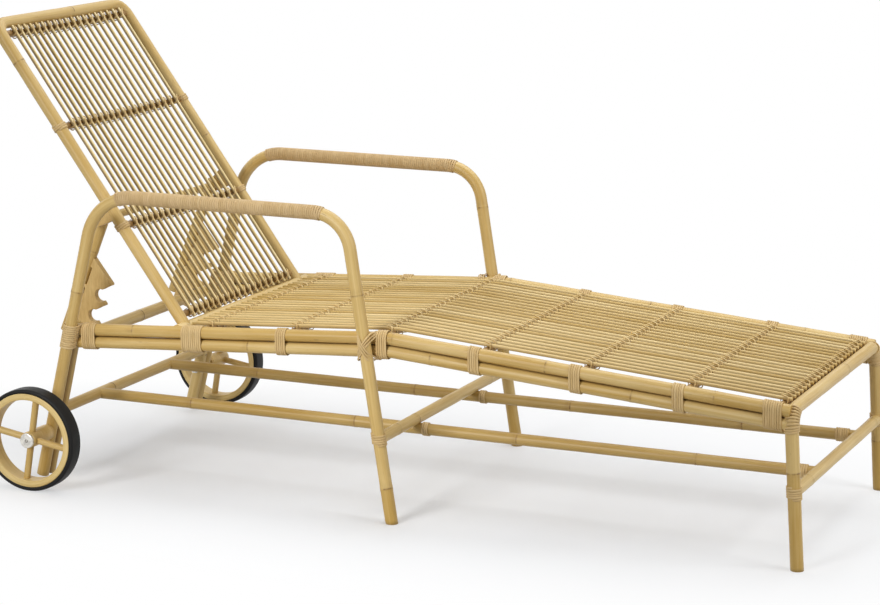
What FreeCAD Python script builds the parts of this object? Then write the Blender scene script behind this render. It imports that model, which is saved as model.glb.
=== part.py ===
"""Rattan sun lounger with a reclining backrest, a toothed prop and two wheels.

Millimetres, +X towards the foot end, +Y towards the sitter's left, +Z up.
The origin is on the floor under the middle of the overall length.
Right-hand pieces are on the -Y side, left-hand pieces on the +Y side.
"""
import FreeCAD
import Part
import math
import os

V = FreeCAD.Vector
SIDES = {"right": -1, "left": 1}

# Poles, rods and cane strands, as diameters
POLE_D = 27.0
STRETCHER_D = 25.0
CROSSBAR_D = 16.0
SLAT_D = 8.0
LASHING_D = 4.2
LACING_D = 4.0
DOWEL_D = 6.0

# Clearances
TOUCH_GAP = 0.2
WRAP_GAP = 0.3
KNEE_WRAP_GAP = 1.6
RUNNING_GAP = 0.05
NOTCH_GAP = 0.4
HINGE_END_GAP = 0.6

# Seat: side rails, knee and foot end, measured at the upper rail's axis
RAIL_Y = 325.0
KNEE_X = 41.2
KNEE_Z = 387.1
KNEE_BEND_R = 250.0
REAR_RISE_DEG = 3.66
FRONT_FALL_DEG = 4.47
FOOT_X = 902.3
FOOT_SPLAY_DEG = 3.94
FOOT_BEND_R = 32.0

# Side hoops: rear leg, arm and mid leg
ARM_Z = 644.0
REAR_LEG_X = -785.0
REAR_LEG_LEAN_DEG = 13.2
REAR_LEG_CLEAR = 28.0
REAR_BEND_R = 115.0
MID_LEG_X = 61.2
MID_LEG_LEAN_DEG = 9.4
FRONT_BEND_R = 85.0
ARM_WRAP_T = 1.9

# Cross rails and stretchers under the seat
REAR_RAIL_Z = 310.0
REAR_RAIL_AHEAD = -9.5
REAR_STRETCHER_ABOVE_AXLE = 44.0
MID_STRETCHER_Z = 178.0
FOOT_STRETCHER_Z = 157.0
LONG_STRETCHER_Z = 157.0
LONG_STRETCHER_Y = 160.0

# Seat slats and the crossbars that carry them
SEAT_SLATS = 23
SEAT_SLAT_PITCH = 25.5
FIRST_ROW_AFTER_HINGE = 65.0
KNEE_ROW_X = 24.0
ROW_PITCH = 220.0
LAST_ROW_BEFORE_FOOT = 27.0
SLAT_END_GAP = 0.6
SEAT_SLAT_SETBACK = 8.0

# Backrest, measured along its stiles from the hinge axis
HINGE_X = -462.5
BACK_ANGLE_DEG = 53.9
BACK_LENGTH = 784.0
BACK_Y = 272.0
BACK_BEND_R = 32.0
BACK_SLATS = 19
BACK_SLAT_PITCH = 25.6
BACK_BOW = 10.5
BACK_ROW_BOTTOM = 30.0
BACK_ROW_LOW = 260.0
BACK_ROW_MID = 516.0
BACK_ROW_BELOW_TOP = 27.0
HINGE_PIN_D = 10.0
HINGE_PIN_IN_BACK = 25.0
HINGE_PIN_IN_RAIL = 18.0

# Prop: pivot on the backrest, and poles with toothed boards that hook over the rear cross rail
PROP_ALONG_BACK = 303.0
PROP_BEHIND_BACK = 43.4
PROP_BAR_D = 18.0
PROP_BAR_OVERHANG = 3.0
PROP_LUG_T = 27.0
PROP_LUG_R = 15.0
PROP_LUG_HALF_ROOT = 24.0
PROP_POLE_D = 24.0
PROP_POLE_OFFSET = 52.6
PROP_POLE_LEAN = 4.0
PROP_BOARD_T = 16.0
PROP_BOARD_BITE = 3.0
PROP_SLOT_W = 3.0
PROP_SLOT_L = 42.0
PROP_SIDE_GAP = 2.0
PROP_HEAD = 16.0
PROP_TAIL = 35.0
NOTCHES = 3
NOTCH_PITCH = 49.5
TOOTH_REACH = 17.0
TOOTH_TIP_R = 3.0
TOOTH_RISE = 33.0
TOOTH_SHOULDER = 72.0
RAMP_DEG = 42.0

# Wheels and axles
WHEEL_R = 113.0
TYRE_T = 9.0
TYRE_W = 38.0
TYRE_ROUND = 5.0
RIM_T = 14.5
RIM_W = 40.0
SPOKES = 4
SPOKE_D = 15.0
SPOKE_TURN_DEG = 9.0
HUB_R = 18.0
HUB_L = 76.0
RIM_BEYOND_HUB = 4.0
BUSH_R = 9.0
AXLE_D = 12.0
AXLE_THREAD = 12.0
WASHER_R = 17.0
WASHER_T = 6.0
SIDE_PLAY = 0.3
CAP_R = 16.5
CAP_T = 5.0
NUT_ACROSS = 19.0
NUT_T = 8.0

# Windings: turns of each kind
LASHING_PITCH = 4.85
RAIL_LASHING_TURNS = 5
HINGE_LASHING_TURNS = 8
LEG_LASHING_TURNS = 4
FOOT_LASHING_TURNS = 6
TIE_LASHING_TURNS = 3
LACING_BEND_R = 6.0
LACING_SIDE_GAP = 0.5

# Sizes that follow from the ones above
POLE_R = POLE_D / 2
HOOP_Y = RAIL_Y + POLE_D + TOUCH_GAP
RAIL_DROP = POLE_D + 2 * TOUCH_GAP
REAR_STRETCHER_Z = WHEEL_R + REAR_STRETCHER_ABOVE_AXLE
SLAT_LIFT = (CROSSBAR_D + SLAT_D) / 2
WRAP_SPACE = LASHING_D + 3 * WRAP_GAP
REAR_LEAN = math.tan(math.radians(REAR_LEG_LEAN_DEG))
MID_LEAN = math.tan(math.radians(MID_LEG_LEAN_DEG))
FOOT_SPLAY = math.tan(math.radians(FOOT_SPLAY_DEG))
PROP_Y = BACK_Y - PROP_LUG_T / 2 - PROP_SIDE_GAP - PROP_POLE_D / 2
BELOW_FLOOR = 20.0


def seat_z(x):
    """Height of the upper rail's axis line at a station along the seat."""
    if x < KNEE_X:
        return KNEE_Z - (KNEE_X - x) * math.tan(math.radians(REAR_RISE_DEG))
    return KNEE_Z - (x - KNEE_X) * math.tan(math.radians(FRONT_FALL_DEG))


def seat_tilt(x):
    """Turn about +Y that lays local X along the seat at a station."""
    return -REAR_RISE_DEG if x <= KNEE_X else FRONT_FALL_DEG


def rear_leg_x(z):
    return REAR_LEG_X + z * REAR_LEAN


def mid_leg_x(z):
    return MID_LEG_X - z * MID_LEAN


def foot_leg_x(z):
    return FOOT_X + (seat_z(FOOT_X) - z) * FOOT_SPLAY


HINGE_Z = seat_z(HINGE_X)
REAR_RAIL_X = rear_leg_x(REAR_RAIL_Z) + REAR_RAIL_AHEAD
REAR_LEG_FRONT_X = rear_leg_x(REAR_RAIL_Z) + POLE_R
AXLE_X = rear_leg_x(WHEEL_R)


def turn_about_y(degrees, place):
    """Placement that turns about +Y and then moves to a place."""
    return FreeCAD.Placement(place, FreeCAD.Rotation(V(0, 1, 0), degrees))


def placed(shape, placement):
    return shape.transformed(placement.toMatrix(), True)


def on_back(shape):
    """Moves a shape from the flat backrest frame to the raised backrest."""
    return placed(shape, turn_about_y(BACK_ANGLE_DEG, V(HINGE_X, 0, HINGE_Z)))


def largest(shape):
    """The largest solid of a cut, without the crumbs beyond the joint."""
    return max(shape.Solids, key=lambda solid: solid.Volume)


def group(shapes):
    return Part.makeCompound(shapes)


def rod(start, end, diameter):
    return Part.makeCylinder(diameter / 2, (end - start).Length, start, end - start)


def rounded_path(points, radii):
    """Straight runs joined by tangent arcs; the radii belong to the inner points."""
    edges = []
    here = points[0]
    for before, corner, after, radius in zip(points, points[1:], points[2:], radii):
        toward = (corner - before).normalize()
        away = (after - corner).normalize()
        half_turn = toward.getAngle(away) / 2
        setback = radius * math.tan(half_turn)
        start = corner - toward * setback
        end = corner + away * setback
        inward = (away - toward).normalize()
        middle = corner + inward * (radius / math.cos(half_turn) - radius)
        edges.append(Part.LineSegment(here, start).toShape())
        edges.append(Part.Arc(start, middle, end).toShape())
        here = end
    edges.append(Part.LineSegment(here, points[-1]).toShape())
    return edges


def sweep(edges, diameter):
    """Round solid along tangent edges."""
    first = edges[0]
    start = first.valueAt(first.FirstParameter)
    along = first.tangentAt(first.FirstParameter)
    ring = Part.Wire(Part.makeCircle(diameter / 2, start, along))
    return Part.Wire(edges).makePipeShell([ring], True, False)


def bent_pole(points, radii, diameter=POLE_D):
    return sweep(rounded_path(points, radii), diameter)


def above_floor(shape):
    """Cuts a leg flat where it stands on the floor."""
    below = Part.makeBox(4000, 4000, 2 * BELOW_FLOOR, V(-2000, -2000, -2 * BELOW_FLOOR))
    return shape.cut(below)


def least_gap(edges, diameter, turn_length):
    """Least gap between a winding's neighbouring turns, measured on points along it."""
    points = []
    travelled = []
    length = 0.0
    for edge in edges:
        for point in edge.discretize(9)[:-1]:
            if points:
                length += (point - points[-1]).Length
            points.append(point)
            travelled.append(length)
    least = None
    for i, point in enumerate(points):
        for j in range(i + 1, len(points)):
            apart = travelled[j] - travelled[i]
            if apart > 2.2 * turn_length:
                break
            if apart > 0.4 * turn_length:
                gap = (points[j] - point).Length - diameter
                least = gap if least is None else min(least, gap)
    return least


def report_gap(name, edges, diameter, turn_length):
    print(f"{name}: least gap to itself {least_gap(edges, diameter, turn_length):.2f} mm")


def winding(name, inner_r, half_straight, turns, gap=WRAP_GAP):
    """Strand wound round one pole or two stacked poles.

    The poles run along local X and are stacked along local Z. Each turn goes up the -Y side,
    over, down the +Y side and under, and moves on by one pitch in its two half turns.
    """
    r = inner_r + gap + LASHING_D / 2
    half_step = LASHING_PITCH / 2
    bulge = math.hypot(r, half_step / 2)
    x = -turns * LASHING_PITCH / 2
    edges = [Part.LineSegment(V(x, -r, half_straight - LASHING_D), V(x, -r, half_straight)).toShape()]
    for turn in range(turns):
        top = V(x + half_step, r, half_straight)
        crown = V(x + half_step / 2, 0, half_straight + bulge)
        edges.append(Part.Arc(V(x, -r, half_straight), crown, top).toShape())
        bottom = V(top.x, r, -half_straight)
        if half_straight > 0:
            edges.append(Part.LineSegment(top, bottom).toShape())
        x += LASHING_PITCH
        keel = V(x - half_step / 2, 0, -half_straight - bulge)
        edges.append(Part.Arc(bottom, keel, V(x, -r, -half_straight)).toShape())
        if half_straight > 0 and turn < turns - 1:
            edges.append(Part.LineSegment(V(x, -r, -half_straight), V(x, -r, half_straight)).toShape())
    edges.append(Part.LineSegment(V(x, -r, -half_straight), V(x, -r, -half_straight + LASHING_D)).toShape())
    turn_length = 2 * math.pi * bulge + 4 * half_straight
    report_gap(name, edges, LASHING_D, turn_length)
    return sweep(edges, LASHING_D)


def bow_radius(bow):
    """Radius of a back crossbar, an arc between the stiles."""
    return (BACK_Y ** 2 + bow ** 2) / (2 * bow)


def bow_drop(y, bow):
    """Drop of a crossbar below its ends; a bow of 0 is a straight bar."""
    if bow == 0:
        return 0.0
    radius = bow_radius(bow)
    return math.sqrt(radius ** 2 - y ** 2) - (radius - bow)


def lacing_row(name, slats, pitch, bow=0.0):
    """Strand laced over every slat and under the crossbar, along local Y.

    The crossbar runs along local Y and drops by the bow in the middle; the slats lie on it along local X.
    """
    side = CROSSBAR_D / 2 + WRAP_GAP + LACING_D / 2
    top = CROSSBAR_D / 2 + SLAT_D + WRAP_GAP + LACING_D / 2
    beside = SLAT_D / 2 + LACING_SIDE_GAP + LACING_D / 2
    points = [V(side, -(slats - 1) / 2 * pitch - beside, 0)]
    for i in range(slats):
        y = (i - (slats - 1) / 2) * pitch
        if i > 0:
            points.append(V(side, y - beside, -side))
        points.append(V(side, y - beside, top))
        points.append(V(-side, y + beside, top))
        if i < slats - 1:
            points.append(V(-side, y + beside, -side))
    points.append(V(-side, (slats - 1) / 2 * pitch + beside, 0))
    points = [point - V(0, 0, bow_drop(point.y, bow)) for point in points]
    edges = rounded_path(points, [LACING_BEND_R] * (len(points) - 2))
    turn_length = 4 * side + 2 * (top + side) + pitch
    report_gap(name, edges, LACING_D, turn_length)
    return sweep(edges, LACING_D)


def seat_rows():
    """Stations of the seat's crossbars, from the hinge to the foot."""
    middle = [KNEE_ROW_X + ROW_PITCH * i for i in range(-1, 4)]
    return [HINGE_X + FIRST_ROW_AFTER_HINGE] + middle + [FOOT_X - LAST_ROW_BEFORE_FOOT]


def side_hoop(sign):
    """Rear leg, arm and mid leg as one bent pole."""
    y = sign * HOOP_Y
    points = [
        V(rear_leg_x(REAR_LEG_CLEAR), y, REAR_LEG_CLEAR),
        V(rear_leg_x(ARM_Z), y, ARM_Z),
        V(mid_leg_x(ARM_Z), y, ARM_Z),
        V(mid_leg_x(-BELOW_FLOOR), y, -BELOW_FLOOR),
    ]
    return above_floor(bent_pole(points, [REAR_BEND_R, FRONT_BEND_R]))


def arm_wrap(sign):
    """Cane sleeve over the straight part of the arm."""
    rear_turn = math.radians(90 - REAR_LEG_LEAN_DEG)
    front_turn = math.radians(90 - MID_LEG_LEAN_DEG)
    start = V(rear_leg_x(ARM_Z) + REAR_BEND_R * math.tan(rear_turn / 2), sign * HOOP_Y, ARM_Z)
    end = V(mid_leg_x(ARM_Z) - FRONT_BEND_R * math.tan(front_turn / 2), sign * HOOP_Y, ARM_Z)
    return rod(start, end, POLE_D + 2 * ARM_WRAP_T).cut(rod(start, end, POLE_D))


def rear_leg_point(y, z):
    return V(rear_leg_x(z), y, z)


def rear_leg_inner(sign, diameter=POLE_D):
    """Second pole of the rear leg, beside the hoop and up to the side rails."""
    y = sign * RAIL_Y
    top = seat_z(rear_leg_x(KNEE_Z)) + POLE_R
    return rod(rear_leg_point(y, REAR_LEG_CLEAR), rear_leg_point(y, top), diameter)


def rear_leg_lashing_space(sign):
    """Space that the lashing round both poles of a rear leg takes up."""
    half = POLE_R + WRAP_SPACE
    between = Part.makeBox(2 * half, HOOP_Y - RAIL_Y, KNEE_Z, V(-half, 0, 0))
    if sign < 0:
        between = between.mirror(V(), V(0, 1, 0))
    between = placed(between, turn_about_y(REAR_LEG_LEAN_DEG, V(REAR_LEG_X, sign * RAIL_Y, 0)))
    return between.fuse(rear_leg_inner(sign, 2 * half))


def foot_hoop(diameter=POLE_D):
    """Two foot legs and the end rail as one bent pole."""
    top = seat_z(FOOT_X)
    points = [
        V(foot_leg_x(-BELOW_FLOOR), -RAIL_Y, -BELOW_FLOOR),
        V(FOOT_X, -RAIL_Y, top),
        V(FOOT_X, RAIL_Y, top),
        V(foot_leg_x(-BELOW_FLOOR), RAIL_Y, -BELOW_FLOOR),
    ]
    return above_floor(bent_pole(points, [FOOT_BEND_R, FOOT_BEND_R], diameter))


def side_rail(sign, drop):
    """Side rail from the rear leg over the knee to the foot leg, before its ends are fitted."""
    y = sign * RAIL_Y
    points = [V(x, y, seat_z(x) - drop) for x in (rear_leg_x(REAR_RAIL_Z), KNEE_X, FOOT_X - 1)]
    return bent_pole(points, [KNEE_BEND_R])


def foot_leg_sleeve(sign, spare):
    """Space round a foot leg, for what stops short of its lashing."""
    y = sign * RAIL_Y
    return rod(V(foot_leg_x(0), y, 0), V(FOOT_X, y, seat_z(FOOT_X)), POLE_D + 2 * spare)


def mid_leg_sleeve(sign, spare):
    """Space round a mid leg, for what stops short of its lashing."""
    y = sign * HOOP_Y
    return rod(V(mid_leg_x(0), y, 0), V(mid_leg_x(KNEE_Z), y, KNEE_Z), POLE_D + 2 * spare)


def hinge_pin(sign, spare=0.0):
    """Steel pin from the backrest's bottom rail into the upper side rail."""
    face = RAIL_Y - POLE_R
    start = V(HINGE_X, sign * (face - HINGE_END_GAP - HINGE_PIN_IN_BACK), HINGE_Z)
    end = V(HINGE_X, sign * (face + HINGE_PIN_IN_RAIL + spare), HINGE_Z)
    return rod(start, end, HINGE_PIN_D + 2 * spare)


def across(x, z, half_width, diameter):
    """Pole across the lounger."""
    return rod(V(x, -half_width, z), V(x, half_width, z), diameter)


def long_stretcher(sign):
    y = sign * LONG_STRETCHER_Y
    start = V(rear_leg_x(REAR_STRETCHER_Z), y, LONG_STRETCHER_Z)
    end = V(foot_leg_x(FOOT_STRETCHER_Z), y, LONG_STRETCHER_Z)
    return rod(start, end, STRETCHER_D)


def seat_slat(y):
    """Thin rod from the hinge over the knee to the end rail, lying on the crossbars."""
    rise = math.radians(REAR_RISE_DEG)
    fall = math.radians(FRONT_FALL_DEG)
    start_x = HINGE_X + POLE_R + SEAT_SLAT_SETBACK
    end_x = FOOT_X - math.sqrt(POLE_R ** 2 - (SLAT_LIFT - SLAT_D / 2) ** 2) - SLAT_END_GAP
    knee_lift = SLAT_LIFT / math.cos((rise + fall) / 2)
    points = [
        V(start_x - SLAT_LIFT * math.sin(rise), y, seat_z(start_x) + SLAT_LIFT * math.cos(rise)),
        V(KNEE_X + knee_lift * math.sin((fall - rise) / 2), y, KNEE_Z + knee_lift),
        V(end_x + SLAT_LIFT * math.sin(fall), y, seat_z(end_x) + SLAT_LIFT * math.cos(fall)),
    ]
    return bent_pole(points, [KNEE_BEND_R], SLAT_D)


def back_hoop():
    """Two stiles and the top rail as one bent pole, in the flat backrest frame."""
    points = [
        V(0, -BACK_Y, 0),
        V(-BACK_LENGTH, -BACK_Y, 0),
        V(-BACK_LENGTH, BACK_Y, 0),
        V(0, BACK_Y, 0),
    ]
    return bent_pole(points, [BACK_BEND_R, BACK_BEND_R])


def back_rows():
    """Distances of the backrest's crossbars from the hinge."""
    return [BACK_ROW_BOTTOM, BACK_ROW_LOW, BACK_ROW_MID, BACK_LENGTH - BACK_ROW_BELOW_TOP]


def back_crossbar(distance, half):
    """Thin rod bowed towards the back, ending at half its width from the middle."""
    radius = bow_radius(BACK_BOW)
    half_turn = math.asin(half / radius)
    end = V(-distance, -half, -bow_drop(half, BACK_BOW))
    along = V(0, math.cos(half_turn), -math.sin(half_turn))
    section = Part.Face(Part.Wire(Part.makeCircle(CROSSBAR_D / 2, end, along)))
    middle = V(-distance, 0, radius - BACK_BOW)
    return section.revolve(middle, V(1, 0, 0), 2 * math.degrees(half_turn))


def back_slat(y):
    """Straight thin rod lying on the bowed crossbars."""
    slope = math.asin(y / bow_radius(BACK_BOW))
    z = SLAT_LIFT / math.cos(slope) - bow_drop(y, BACK_BOW)
    nearest = max(0.0, z - SLAT_D / 2)
    clear = math.sqrt(POLE_R ** 2 - nearest ** 2) + SLAT_END_GAP
    return rod(V(-clear, y, z), V(-BACK_LENGTH + clear, y, z), SLAT_D)


def prop_pivot():
    """Pivot of the prop in the flat backrest frame."""
    return V(-PROP_ALONG_BACK, 0, -PROP_BEHIND_BACK)


def prop_lug(sign):
    """Wooden lug on the back of a stile, bored for the prop's bar, in the flat backrest frame."""
    y = sign * BACK_Y - PROP_LUG_T / 2
    pivot = prop_pivot() + V(0, y, 0)
    outline = [
        V(pivot.x - PROP_LUG_HALF_ROOT, y, 0),
        V(pivot.x + PROP_LUG_HALF_ROOT, y, 0),
        V(pivot.x + PROP_LUG_R, y, pivot.z),
        V(pivot.x - PROP_LUG_R, y, pivot.z),
    ]
    plate = Part.Face(Part.makePolygon(outline + outline[:1])).extrude(V(0, PROP_LUG_T, 0))
    eye = Part.makeCylinder(PROP_LUG_R, PROP_LUG_T, pivot, V(0, 1, 0))
    bore = Part.makeCylinder(PROP_BAR_D / 2 + RUNNING_GAP, PROP_LUG_T, pivot, V(0, 1, 0))
    stile = rod(V(0, sign * BACK_Y, 0), V(-BACK_LENGTH, sign * BACK_Y, 0), POLE_D)
    return largest(plate.fuse(eye).cut(bore).cut(stile)).removeSplitter()


def prop_frame():
    """Placement of the prop boards: origin on the rear cross rail's axis, notches along local Z."""
    pivot = turn_about_y(BACK_ANGLE_DEG, V(HINGE_X, 0, HINGE_Z)).multVec(prop_pivot())
    reach = pivot - V(REAR_RAIL_X, 0, REAR_RAIL_Z)
    lean = math.atan2(reach.x, reach.z) + math.asin(PROP_POLE_OFFSET / reach.Length)
    height = math.sqrt(reach.Length ** 2 - PROP_POLE_OFFSET ** 2)
    return turn_about_y(math.degrees(lean), V(REAR_RAIL_X, 0, REAR_RAIL_Z)), height


def slab(points):
    """Board of the prop's thickness from an outline given as (forward, up) pairs."""
    y = -PROP_BOARD_T / 2
    corners = [V(x, y, z) for x, z in points]
    return Part.Face(Part.makePolygon(corners + corners[:1])).extrude(V(0, PROP_BOARD_T, 0))


def disc(x, z, radius):
    return Part.makeCylinder(radius, PROP_BOARD_T, V(x, -PROP_BOARD_T / 2, z), V(0, 1, 0))


def tooth(base, crest):
    """Fin above a notch: from the board's crest point forward and down to a rounded tip."""
    notch_r = POLE_R + NOTCH_GAP
    tip_x = TOOTH_REACH - TOOTH_TIP_R
    tip_z = base + TOOTH_RISE
    outline = [
        (-1.5 * notch_r, base),
        crest,
        (tip_x + 0.6 * TOOTH_TIP_R, tip_z + 0.8 * TOOTH_TIP_R),
        (tip_x, tip_z - TOOTH_TIP_R),
        (0, base + notch_r),
    ]
    return slab(outline).fuse(disc(tip_x, tip_z, TOOTH_TIP_R))


def prop_pole_at(height, z):
    """Point of the prop pole's axis at a height in the prop's own frame."""
    return V(-PROP_POLE_OFFSET - PROP_POLE_LEAN * (height - z) / height, 0, z)


def prop_pole():
    """Round pole of the prop in the prop's own frame, bored for the bar."""
    height = prop_frame()[1]
    pole = rod(prop_pole_at(height, -PROP_TAIL), prop_pole_at(height, height + PROP_HEAD), PROP_POLE_D)
    pivot = V(-PROP_POLE_OFFSET, 0, height)
    across_pole = V(0, PROP_POLE_D, 0)
    return pole.cut(rod(pivot - across_pole, pivot + across_pole, PROP_BAR_D))


def prop_board():
    """Toothed board on the front of a prop pole, with its lowest notch round the rear cross rail."""
    height = prop_frame()[1]
    notch_r = POLE_R + NOTCH_GAP
    web_front = -notch_r / 2
    top_notch = (NOTCHES - 1) * NOTCH_PITCH
    shoulder = top_notch + TOOTH_SHOULDER
    face = PROP_POLE_D / 2 - PROP_BOARD_BITE
    foot = prop_pole_at(height, -PROP_TAIL).x + face
    head = prop_pole_at(height, shoulder).x + face
    outline = [
        (foot, -PROP_TAIL),
        (web_front, -PROP_TAIL),
        (web_front, top_notch),
        (head, shoulder),
    ]
    board = slab(outline)
    for i in range(NOTCHES):
        base = i * NOTCH_PITCH
        crest = (head, shoulder) if i == NOTCHES - 1 else (web_front, base + NOTCH_PITCH)
        board = board.fuse(tooth(base, crest))
    for i in range(NOTCHES):
        board = board.cut(disc(0, i * NOTCH_PITCH, notch_r))
    ramp = math.radians(RAMP_DEG)
    seat = (-notch_r * math.sin(ramp), notch_r * math.cos(ramp))
    away = 2 * NOTCH_PITCH
    mouth = [
        seat,
        (seat[0] + away * math.cos(ramp), seat[1] + away * math.sin(ramp)),
        (away, -PROP_TAIL),
        (0, -PROP_TAIL),
        (0, 0),
    ]
    board = board.cut(slab(mouth))
    for i in range(1, NOTCHES):
        low = prop_pole_at(height, i * NOTCH_PITCH + notch_r / 2)
        front = PROP_POLE_D / 2 + PROP_SLOT_W
        board = board.cut(slab([
            (low.x, low.z),
            (low.x + front, low.z),
            (low.x + front, low.z + PROP_SLOT_L),
            (low.x, low.z + PROP_SLOT_L),
        ]))
    return largest(board.cut(prop_pole())).removeSplitter()


def prop_bar():
    """Bar through both lugs that carries the two boards, in the flat backrest frame."""
    half = BACK_Y + PROP_LUG_T / 2 + PROP_BAR_OVERHANG
    pivot = prop_pivot()
    return across(pivot.x, pivot.z, half, PROP_BAR_D)


def ring(outer_r, inner_r, start_y, end_y):
    """Ring round the axle between two stations across the lounger."""
    start = V(AXLE_X, start_y, WHEEL_R)
    end = V(AXLE_X, end_y, WHEEL_R)
    return rod(start, end, 2 * outer_r).cut(rod(start, end, 2 * inner_r))


def wheel_stations():
    """Distances from the middle plane: leg face, hub's inner face, wheel's middle, hub's outer face."""
    leg_face = HOOP_Y + POLE_R
    hub_in = leg_face + WASHER_T + SIDE_PLAY
    hub_out = hub_in + HUB_L
    return leg_face, hub_in, hub_out + RIM_BEYOND_HUB - RIM_W / 2, hub_out


def tyre(sign):
    middle = sign * wheel_stations()[2]
    solid = ring(WHEEL_R, WHEEL_R - TYRE_T, middle - TYRE_W / 2, middle + TYRE_W / 2)
    rims = [edge for edge in solid.Edges if edge.Length > 2 * math.pi * (WHEEL_R - TYRE_T / 2)]
    return solid.makeFillet(TYRE_ROUND, rims)


def wheel_rim(sign):
    middle = sign * wheel_stations()[2]
    outer = WHEEL_R - TYRE_T
    return ring(outer, outer - RIM_T, middle - RIM_W / 2, middle + RIM_W / 2)


def wheel_spokes(sign):
    """Round spokes from the hub to the rim, in a cross that is turned a little."""
    y = sign * wheel_stations()[2]
    centre = V(AXLE_X, y, WHEEL_R)
    rim_in = WHEEL_R - TYRE_T - RIM_T
    hub = rod(V(AXLE_X, y - HUB_L, WHEEL_R), V(AXLE_X, y + HUB_L, WHEEL_R), 2 * HUB_R)
    inside = rod(V(AXLE_X, y - HUB_L, WHEEL_R), V(AXLE_X, y + HUB_L, WHEEL_R), 2 * rim_in)
    spokes = []
    for i in range(SPOKES):
        angle = math.radians(SPOKE_TURN_DEG + 360.0 / SPOKES * i)
        tip = centre + V(math.sin(angle), 0, math.cos(angle)) * (rim_in + SPOKE_D)
        spokes.append(largest(rod(centre, tip, SPOKE_D).common(inside).cut(hub)))
    return group(spokes)


def wheel_hub(sign):
    stations = wheel_stations()
    return ring(HUB_R, BUSH_R, sign * stations[1], sign * stations[3])


def wheel_bush(sign):
    stations = wheel_stations()
    return ring(BUSH_R, AXLE_D / 2 + RUNNING_GAP, sign * stations[1], sign * stations[3])


def axle_length():
    """Ends of an axle bolt: at its nut inside the legs and at its cap outside the wheel."""
    inside = RAIL_Y - POLE_R - AXLE_THREAD
    return inside, wheel_stations()[3] + SIDE_PLAY


def axle(sign):
    """Bolt through both rear leg poles and the wheel, with its domed cap."""
    inside, outside = axle_length()
    bolt = rod(V(AXLE_X, sign * inside, WHEEL_R), V(AXLE_X, sign * outside, WHEEL_R), AXLE_D)
    cap = rod(V(AXLE_X, sign * outside, WHEEL_R), V(AXLE_X, sign * (outside + CAP_T), WHEEL_R), 2 * CAP_R)
    edge = max(cap.Edges, key=lambda e: sign * e.CenterOfMass.y)
    return bolt.fuse(cap.makeFillet(CAP_T / 2, [edge])).removeSplitter()


def axle_washer(sign):
    leg_face = wheel_stations()[0]
    return ring(WASHER_R, AXLE_D / 2, sign * leg_face, sign * (leg_face + WASHER_T))


def axle_nut(sign):
    """Hexagon nut on the inner end of an axle."""
    outer = RAIL_Y - POLE_R - TOUCH_GAP
    corner_r = NUT_ACROSS / math.sqrt(3)
    y = sign * outer
    corners = []
    for i in range(6):
        angle = math.radians(60 * i)
        corners.append(V(AXLE_X + corner_r * math.cos(angle), y, WHEEL_R + corner_r * math.sin(angle)))
    nut = Part.Face(Part.makePolygon(corners + corners[:1])).extrude(V(0, -sign * NUT_T, 0))
    return nut.cut(across(AXLE_X, WHEEL_R, outer, AXLE_D))


def joint_dowels(rows):
    """Hidden dowels as (dowel, names of the pieces that it joins)."""
    dowels = []
    half = 2 * DOWEL_D
    for side, sign in SIDES.items():
        face = sign * (RAIL_Y - POLE_R)
        across_to = V(0, sign * half, 0)
        for x in rows:
            centre = V(x, face, seat_z(x))
            pieces = ("seat_crossbars", f"upper_side_rail_{side}")
            dowels.append((rod(centre - across_to, centre + across_to, DOWEL_D), pieces))
        rail_x = rear_leg_x(REAR_RAIL_Z) + REAR_RAIL_AHEAD / 2
        stretcher_x = rear_leg_x(REAR_STRETCHER_Z)
        for x, z, pole in (
            (rail_x, REAR_RAIL_Z, "rear_cross_rail"),
            (stretcher_x, REAR_STRETCHER_Z, "rear_cross_stretcher"),
        ):
            centre = V(x, face, z)
            pieces = (pole, f"rear_leg_inner_{side}", f"lower_side_rail_{side}")
            dowels.append((rod(centre - across_to, centre + across_to, DOWEL_D), pieces))
    return dowels


def fit_side_rails(nodes):
    """Fits the rails' ends to the rear legs and the foot hoop, and bores them for the hinge pins."""
    for side, sign in SIDES.items():
        inner = nodes[f"rear_leg_inner_{side}"]
        upper = side_rail(sign, 0).cut(rear_leg_lashing_space(sign)).cut(nodes["foot_hoop"])
        lower = side_rail(sign, RAIL_DROP).cut(inner).cut(foot_leg_sleeve(sign, WRAP_SPACE))
        nodes[f"upper_side_rail_{side}"] = largest(largest(upper).cut(hinge_pin(sign, RUNNING_GAP)))
        nodes[f"lower_side_rail_{side}"] = largest(lower)


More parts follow.
